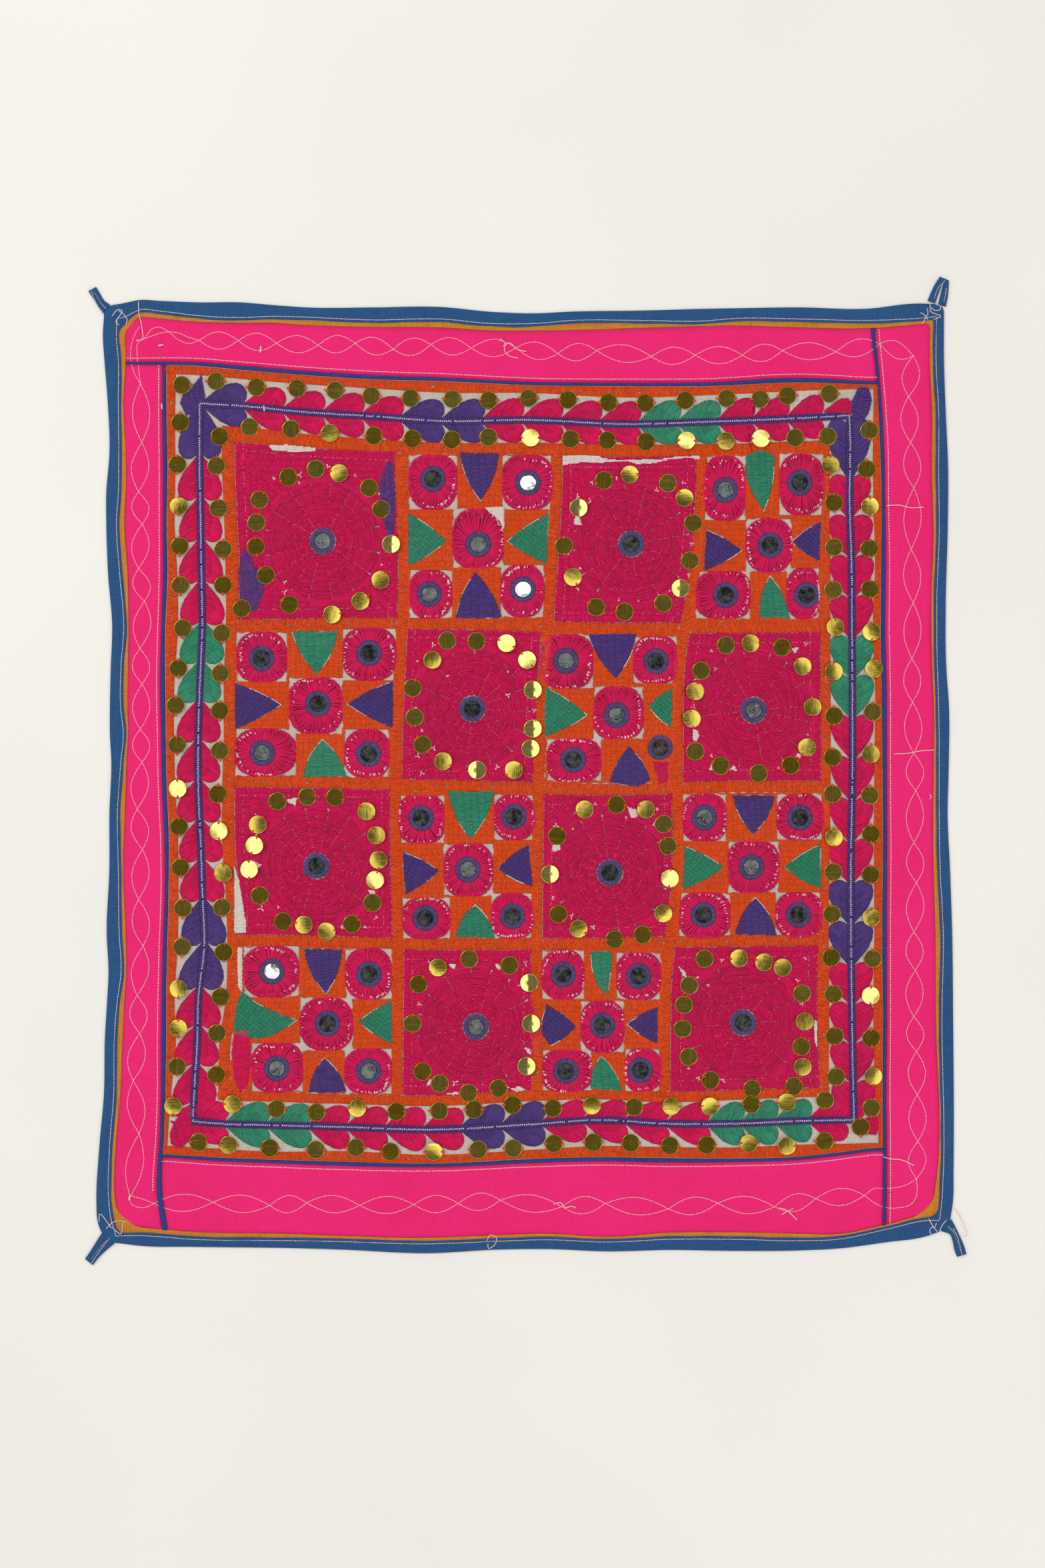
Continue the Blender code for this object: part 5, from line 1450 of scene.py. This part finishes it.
def hanging_loop(name, material):
    """A tape folded back on itself: two flat legs side by side that meet at the fold."""
    stations = np.array(LOOPS[name], float)
    gone = far_along((stations[:, :2] + stations[:, 2:]) / 2)
    left, right = np.split(soft_path(stations, LOOP_STATIONS, gone), 2, axis=1)
    at, run = np.linspace(0, gone[-1], LOOP_STATIONS), gone[-1]
    wide = np.linalg.norm(right - left, axis=1)
    slit = (SLIT_START[name] + (SLIT_STOP - SLIT_START[name]) * at / run) * np.clip((run - at) / 4, 0, 1)
    legs = []
    for low, high in ((0 * wide, 0.5 - slit / 2 / wide), (0.5 + slit / 2 / wide, 0 * wide + 1)):
        first, second = (left + (right - left) * share[:, None] for share in (low, high))
        legs.append(loft(first, second, LOOP_SECTION, lambda where: 0.12 * np.sin(where * 19), False))
    return tape(f"tape_{name}", legs, material)


# Pitch and length of the machine stitches in the waves, along the piping, and along the binding.
WAVE_STITCH = (2.6, 2.15)
SEAM_STITCH = (2.9, 2.0)
HEM_STITCH = (2.2, 1.7)
# How far the waves swing, in pixels of the photograph, and how many points they have in one swing and
# round a corner.
WAVE_SWING = 13.0
SWING_POINTS, CORNER_POINTS = 14, 60
# How far the seam lies outside the piping and the binding's stitches inside its own inner edge.
SEAM_INSET, HEM_INSET = -4.4, -3.6
# Height and width of the binding's stitches, the loops' seams, the loose threads and the ticks.
HEM_SET, LOOP_SEAM_SET, THREAD_SET, TICK_SET = (2.35, 0.75), (2.1, 0.7), (2.6, 0.8), (3.6, 1.6)
# The lines of the sides before and after, at which each side's seam starts and stops, and how far
# inside the first one it starts.
SEAM_ENDS = {
    "top": ("trim_in", "pipe_out", 1.0),
    "right": ("trim_in", "trim_in", 1.0),
    "bottom": ("pipe_out", "pipe_out", 0.0),
    "left": ("trim_in", "pipe_out", 42.0),
}


def waves(threads):
    """Two waves of machine stitches that cross and part along the middle of each border strip."""
    for side, spots in WAVE_CROSSINGS.items():
        marks = from_photo(spots)
        share = np.linspace(0, 1, SWING_POINTS)[:-1]
        for hand in (-1, 1):
            path = []
            for n, (a, b) in enumerate(zip(marks, marks[1:])):
                spot = a + (b - a) * share[:, None]
                way = hand * (-1) ** n
                spot[:, 1 if side in HORIZONTAL else 0] += way * WAVE_SWING * PX * np.sin(math.pi * share)
                path.append(spot)
            stitches(threads, np.concatenate([*path, marks[-1:]]), *WAVE_STITCH, on_border)
    for spots in WAVE_CORNERS:
        marks = from_photo(spots)
        stitches(threads, soft_path(marks, CORNER_POINTS, far_along(marks)), *WAVE_STITCH, on_border)


def machine_stitches(threads):
    """The waves, the seams beside the piping, the binding's hem, and the loose threads."""
    waves(threads)
    for i, side in enumerate(SIDES):
        before, after, short = SEAM_ENDS[side]
        start = along_at(side, SIDES[i - 1], "pipe_out", before)
        stop = along_at(side, SIDES[(i + 1) % 4], "pipe_out", after)
        marks = np.linspace(start + short * np.sign(stop - start), stop, 200)
        path = on_line(side_line(side, "pipe_out", SEAM_INSET), marks)
        stitches(threads, path, *SEAM_STITCH, on_border, 0.85)
    stitches(threads, frame_path("binding_in", inset=HEM_INSET), *HEM_STITCH, *HEM_SET, closed=True)
    for spots in LOOP_SEAMS:
        stitches(threads, from_photo(spots), *HEM_STITCH, *LOOP_SEAM_SET)
    for spots in LOOSE_THREADS:
        strand(threads, from_photo(spots), *THREAD_SET)
    for spots in TICKS:
        strand(threads, from_photo(spots), *TICK_SET, 0.6)


def colour(red, green, blue):
    """A display colour from 0 to 255 as linear light."""
    parts = np.array([red, green, blue]) / 255
    return (*np.where(parts <= 0.04045, parts / 12.92, ((parts + 0.055) / 1.055) ** 2.4), 1)


def plug(tree, socket, value):
    """Gives a socket a value, or another node's output."""
    if isinstance(value, bpy.types.NodeSocket):
        tree.links.new(value, socket)
    else:
        socket.default_value = value


def node(tree, kind, settings=None, **inputs):
    made = tree.nodes.new("ShaderNode" + kind)
    for name, value in (settings or {}).items():
        setattr(made, name, value)
    for name, value in inputs.items():
        plug(tree, made.inputs[name.replace("_", " ")], value)
    return made


def blank(name, **values):
    """A new material with its shader's own sockets set."""
    material = bpy.data.materials.new(name)
    material.use_nodes = True
    tree = material.node_tree
    shader = tree.nodes["Principled BSDF"]
    for key, value in values.items():
        shader.inputs[key.replace("_", " ")].default_value = value
    return material, tree, shader


def ranged(tree, value, settings=None, **ends):
    """A value spread between new ends."""
    return node(tree, "MapRange", settings, Value=value, **ends).outputs["Result"]


def noise(tree, scale, detail=2.0, stretch=(1, 1, 1), low=0.35, high=0.65):
    """Noise in the object's own space, in metres, spread between 0 and 1."""
    place = node(tree, "TexCoord").outputs["Object"]
    mapped = node(tree, "Mapping", Vector=place, Scale=stretch).outputs["Vector"]
    made = node(tree, "TexNoise", Vector=mapped, Scale=scale, Detail=detail)
    return ranged(tree, made.outputs["Fac"], From_Min=low, From_Max=high)


def mixed(tree, share, first, second, kind="MIX"):
    return node(tree, "MixRGB", {"blend_type": kind}, Fac=share, Color1=first, Color2=second).outputs["Color"]


def maths(tree, kind, first, second):
    made = node(tree, "Math", {"operation": kind})
    for socket, value in zip(made.inputs, (first, second)):
        plug(tree, socket, value)
    return made.outputs["Value"]


def part_of(tree, share, value):
    """A share of a value."""
    return maths(tree, "MULTIPLY", value, share)


def dress(tree, shader, base, height, strength, distance):
    """Gives a shader its base colour and its relief."""
    plug(tree, shader.inputs["Base Color"], base)
    made = node(tree, "Bump", Height=height, Strength=strength, Distance=distance)
    plug(tree, shader.inputs["Normal"], made.outputs["Normal"])


def tone_and_painted_light_of(tree):
    """What a mesh holds at each of its points: a random darkening of its colour, times painted shade along
    the strands' grooves and ends, and a painted highlight on the sequins that catch the light.
    """
    return node(tree, "Attribute", {"attribute_name": "tone"}).outputs["Fac"]


def floss(name, deep, bright, faded):
    """Embroidery floss: painted shade darkens it in the grooves between strands and at their ends, with its
    own random variation and soft fading over the cloth.
    """
    material, tree, shader = blank(name, Roughness=0.52, Specular_IOR_Level=0.18)
    tone = tone_and_painted_light_of(tree)
    base = mixed(tree, part_of(tree, 0.45, noise(tree, 11, 3)), colour(*bright), colour(*faded))
    # The deep colour comes in with the mesh's value: painted shade in the grooves and at the ends, and random
    # variation from strand to strand.
    base = mixed(tree, tone, colour(*deep), base)
    base = mixed(tree, part_of(tree, 0.22, noise(tree, 700, 2)), base, (0.3, 0.3, 0.3, 1), "MULTIPLY")
    dress(tree, shader, base, noise(tree, 2600, 1), 0.3, 0.0002)
    return material


def weave(name, deep, bright, faded, pitch, slub, strength):
    """A plain weave: warp and weft ribs, thick and thin yarns, and soft fading."""
    material, tree, shader = blank(name, Roughness=0.85, Sheen_Weight=0.1)
    split = node(tree, "SeparateXYZ", Vector=node(tree, "TexCoord").outputs["Object"])
    ribs = [maths(tree, "SINE", part_of(tree, TURN / (pitch * MM), split.outputs[axis]), 0.0)
            for axis in ("X", "Y")]
    woven = maths(tree, "MULTIPLY", *ribs)
    yarns = mixed(tree, 0.5, noise(tree, 1300, 1, (1, 0.04, 1)), noise(tree, 1300, 1, (0.04, 1, 1)))
    base = mixed(tree, yarns, colour(*deep), colour(*bright))
    base = mixed(tree, part_of(tree, slub, noise(tree, 9, 4)), base, colour(*faded))
    dress(tree, shader, base, maths(tree, "ADD", part_of(tree, 0.5, woven), yarns), strength, 0.0004)
    return material


def gilt():
    """Gilt plastic film, softly buckled, with scratches that run two ways, painted lighter on the sequins
    that catch the light.
    """
    material, tree, shader = blank("gilt_film", Metallic=1.0, Roughness=0.2)
    # Painted highlight: the colour runs from a dull gilt to a bright one on the sequins that catch the light.
    base = mixed(tree, tone_and_painted_light_of(tree), colour(194, 166, 52), colour(250, 236, 136))
    base = mixed(tree, part_of(tree, 0.2, noise(tree, 160, 3)), base, colour(150, 128, 16))
    ways = noise(tree, 34, 0, (1, 1, 1), 0.48, 0.52)
    scratches = mixed(tree, ways, noise(tree, 1100, 2, (1, 0.05, 1)), noise(tree, 1100, 2, (0.05, 1, 1)))
    plug(tree, shader.inputs["Roughness"], ranged(tree, scratches, To_Min=0.1, To_Max=0.22))
    buckles = noise(tree, 90, 1, (1, 1, 1), 0.2, 0.8)
    dress(tree, shader, base, maths(tree, "ADD", part_of(tree, 0.07, scratches), buckles), 1.0, 0.00013)
    return material


def glass(name, deep, bright, roughness, specks):
    """Old mirror glass: silvering with dark specks and a cloudy film, its overall brightness painted by what
    the mirror reflects.
    """
    material, tree, shader = blank(name, Metallic=1.0, Roughness=roughness)
    base = mixed(tree, noise(tree, 170, 4), colour(*deep), colour(*bright))
    spots = noise(tree, 850, 3, (1, 1, 1), 0.5, 0.6)
    patches = noise(tree, 95, 1, (1, 1, 1), 0.4, 0.55)
    spotted = part_of(tree, specks, maths(tree, "MULTIPLY", spots, patches))
    base = mixed(tree, spotted, base, colour(18, 20, 20))
    dress(tree, shader, base, noise(tree, 80, 2), 0.3, 0.0006)
    return material


FLOOR_DEEP, FLOOR_BRIGHT = (240, 238, 232), (243, 241, 235)
FLOOR_HALF, FLOOR_LEVEL = 6.0, -0.0004
# Height of the direction where each band of the sky starts and ends, and its light before and after:
# a dark middle straight above, a bright ring round it, and an even sky below that.
SKY_BANDS = ((0.955, 0.905, 0.13, 2.0), (0.875, 0.83, 0.0, -1.36))
SKY_COLOUR = (1, 0.99, 0.975, 1)
LAMP_COLOUR = (1.0, 0.98, 0.95)
# Name, place and size in metres, and power of each lamp.
LIGHTS = (("key", (-2.6, 1.6, 2.6), 1.6, 42), ("fill", (2.6, -1.8, 2.4), 1.6, 22))


def floor_and_light():
    """A pale floor, soft light from all sides, and darkness straight above for what is shiny."""
    mesh = bpy.data.meshes.new("floor")
    corners = [(x * FLOOR_HALF, y * FLOOR_HALF, FLOOR_LEVEL) for x, y in ((-1, -1), (1, -1), (1, 1), (-1, 1))]
    mesh.from_pydata(corners, [], [(0, 1, 2, 3)])
    ground = linked("floor", mesh)
    material, tree, shader = blank("pale_floor", Roughness=0.9)
    base = mixed(tree, noise(tree, 3, 2), colour(*FLOOR_DEEP), colour(*FLOOR_BRIGHT))
    plug(tree, shader.inputs["Base Color"], base)
    mesh.materials.append(material)

    world = bpy.data.worlds.new("studio")
    bpy.context.scene.world = world
    world.use_nodes = True
    tree = world.node_tree
    split = node(tree, "SeparateXYZ", Vector=node(tree, "TexCoord").outputs["Generated"])
    soft = {"interpolation_type": "SMOOTHSTEP"}
    levels = []
    for start, stop, before, after in SKY_BANDS:
        ends = {"From_Min": start, "From_Max": stop, "To_Min": before, "To_Max": after}
        levels.append(ranged(tree, split.outputs["Z"], soft, **ends))
    back = tree.nodes["Background"]
    back.inputs["Color"].default_value = SKY_COLOUR
    plug(tree, back.inputs["Strength"], maths(tree, "ADD", *levels))

    for name, place, size, power in LIGHTS:
        lamp = bpy.data.lights.new(name, "AREA")
        lamp.size = size
        lamp.energy = power
        lamp.color = LAMP_COLOUR
        obj = linked(name, lamp)
        obj.location = place
        obj.rotation_euler = (-Vector(place)).to_track_quat("-Z", "Y").to_euler()


def camera():
    """Straight down over the middle of the photograph, at its distance."""
    data = bpy.data.cameras.new("camera")
    data.lens = 85
    data.sensor_width = 36
    obj = linked("camera", data)
    obj.location = ((PHOTO_WIDE / 2 - PHOTO_X) * PX * MM, (PHOTO_Y - PHOTO_TALL / 2) * PX * MM,
                    PHOTO_TALL * PX * MM * data.lens / data.sensor_width)
    bpy.context.scene.camera = obj


# The look of each kind of strand.
KINDS = {
    "orange": "orange_floss", "filler": "orange_floss", "eyelet": "pink_floss", "purple": "purple_floss",
    "green": "green_floss", "pale": "pale_thread", "flower": "pink_floss", "leaf": "pink_floss",
    "ring": "ring_floss", "dark": "bead_thread", "chain": "chain_thread", "petal": "pink_floss",
}


def embroidery():
    """Every strand of the panel, gathered by kind."""
    shapes = eyelet_shapes()
    kinds = {name: Threads() for name in KINDS}
    bands(kinds["orange"])
    for tip, end, out, shade in leaf_places():
        leaf_strands(kinds["leaf" if shade == "pink" else shade], tip, end, out)
    braid(kinds["purple"], kinds["chain"])
    for row, column in FLOWERS:
        petals(kinds["petal"], kinds["pale"], FLOWERS[row, column])
        flower_frame(kinds["flower"], kinds["pale"], row, column)
    for row, column in EYELETS:
        eyelet_block(kinds, row, column, shapes)
    for name, angle, spots in PATCHES:
        fill(kinds[name], from_photo(spots), angle, length=7.0, base=STITCH_FOOT + 0.5)
    # Painted shadow: a line of dark strands beside the tuck's ridge.
    line = smooth_line([(y, x) for x, y in TUCK])
    for kind, start, stop in zip(("orange", "leaf", "orange"), TUCK, TUCK[1:]):
        y = np.linspace(start[1] + 3, stop[1] - 3, 24)
        kinds[kind].sew(line(y) + TUCK_SHADE, y, STITCH_FOOT + 1.1, width=1.1, thick=0.2, tone=(0.0, 0.06))
    for spots in BARE:
        fill(kinds["pale"], from_photo(spots), 0, length=9.0, lean=0.2, base=BARE_GAP, jag=0.5)
    for spot in from_photo(FORKS):
        fork(kinds["pale"], spot)
    for centre in all_mirrors().values():
        mirror_ring(kinds["ring"], kinds["dark"], centre)
    return kinds


# The lines round each border strip, top, right, bottom and left, with their inset, and the flat size
# of the cloth in metres.
STRIPS = {
    "top": ((("top", "trim_in", STRIP_GAP), ("right", "pipe_in", HALF_GAP),
             ("top", "pipe_out", -HALF_GAP), ("left", "trim_in", STRIP_GAP)), (0.062, 0.83)),
    "right": ((("top", "trim_in", STRIP_GAP), ("right", "trim_in", STRIP_GAP),
               ("bottom", "trim_in", STRIP_GAP), ("right", "pipe_out", -HALF_GAP)), (0.054, 1.0)),
    "bottom": ((("bottom", "pipe_out", -HALF_GAP), ("right", "pipe_in", HALF_GAP),
                ("bottom", "trim_in", STRIP_GAP), ("left", "pipe_in", HALF_GAP)), (0.082, 0.79)),
    "left": ((("top", "pipe_in", HALF_GAP), ("left", "pipe_out", -HALF_GAP),
              ("bottom", "trim_in", STRIP_GAP), ("left", "trim_in", STRIP_GAP)), (0.043, 0.95)),
}


def cloths(looks):
    """The ground cloth, the border strips, the piping, the trim, the binding and the loops."""
    ground = cloth("ground_cloth", [side_line(side, "pipe_in", HALF_GAP) for side in SIDES], GROUND_STEP,
                   lambda x, y: GROUND_TOP + swell(x, y), looks["ground_weave"], GROUND_DROP)
    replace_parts(ground, "panel")
    roll = piping(looks["piping_weave"])
    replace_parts(roll, "piping")
    for side, (names, size) in STRIPS.items():
        strip = cloth(f"strip_{side}", [side_line(*name) for name in names], STRIP_STEP, border_level,
                      looks["border_weave"], STRIP_DROP)
        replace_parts(strip, f"border_{side}")
    edge = trim(looks["trim_weave"])
    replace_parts(edge, "trim")
    folded = binding(looks["binding_weave"])
    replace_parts(folded, "binding")
    for name in LOOPS:
        made = hanging_loop(name, looks["binding_weave"])
        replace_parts(made, f"loop_{name}")


# Display colours, deep, bright and faded. A weave has the pitch of its ribs as well, how far it is
# faded and how strong its relief is.
WEAVES = {
    "ground_weave": ((182, 172, 160), (214, 205, 194), (176, 162, 148), 0.8, 0.4, 0.35),
    "border_weave": ((226, 3, 98), (240, 7, 114), (246, 28, 134), 0.5, 0.3, 0.22),
    "piping_weave": ((22, 40, 110), (36, 60, 142), (50, 50, 140), 0.5, 0.25, 0.35),
    "trim_weave": ((178, 104, 14), (214, 140, 26), (196, 126, 30), 0.5, 0.25, 0.35),
    "binding_weave": ((6, 62, 112), (22, 84, 136), (30, 88, 138), 0.5, 0.25, 0.35),
}
# A floss's deep colour is also its painted shade in the grooves and at the strand ends.
FLOSSES = {
    "orange_floss": ((156, 24, 0), (255, 94, 20), (255, 102, 40)),
    "pink_floss": ((108, 0, 36), (254, 8, 102), (232, 22, 100)),
    "purple_floss": ((30, 16, 70), (98, 68, 150), (96, 76, 142)),
    "green_floss": ((6, 60, 46), (60, 166, 128), (92, 176, 146)),
    "pale_thread": ((206, 196, 186), (240, 230, 220), (220, 200, 190)),
    "machine_thread": ((224, 178, 176), (255, 240, 230), (250, 226, 214)),
    "chain_thread": ((150, 134, 176), (240, 232, 242), (220, 210, 230)),
    "bead_thread": ((26, 20, 50), (56, 44, 90), (40, 30, 70)),
    "ring_floss": ((34, 24, 66), (110, 92, 148), (102, 88, 140)),
}
# Deep and bright display colours of each kind of mirror, how rough it is, and how much it is specked. The
# kinds are one glass, painted darker or lighter by what it reflects: painted reflection.
MIRRORS = {
    "mirror_painted_dark": ((70, 76, 76), (170, 178, 176), 0.2, 0.8),
    "mirror_painted_grey": ((116, 122, 122), (164, 170, 168), 0.36, 0.95),
    "mirror_painted_bright": ((215, 218, 216), (250, 250, 248), 0.06, 0.6),
}


def main():
    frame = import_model()
    camera()
    floor_and_light()
    bpy.context.scene.view_settings.view_transform = "Standard"
    looks = {name: weave(name, *values) for name, values in WEAVES.items()}
    looks.update({name: floss(name, *colours) for name, colours in FLOSSES.items()})
    film = gilt()
    cloths(looks)
    kinds = embroidery()
    tufts = Threads()
    sequins(film, tufts)
    for name, threads in kinds.items():
        threads.piece(f"stitches_{name}", looks[KINDS[name]], "embroidery")
    tufts.piece("sequin_tufts", looks["orange_floss"])
    machine = Threads()
    machine_stitches(machine)
    machine.piece("machine_stitches", looks["machine_thread"])

    # Painted reflection: the tilted mirrors catch the sky through their lean and are also given the bright
    # glass; the grey ones get the grey glass, the rest the dark glass.
    dark, grey, bright = [glass(name, *values) for name, values in MIRRORS.items()]
    for name, centre in all_mirrors().items():
        if name in GLASS_LEAN:
            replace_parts(tilted_glass(name, centre, bright), name)
        else:
            frame["nodes"][name].data.materials.clear()
            frame["nodes"][name].data.materials.append(grey if name[7:] in GREY_PAINTED_MIRRORS else dark)


main()
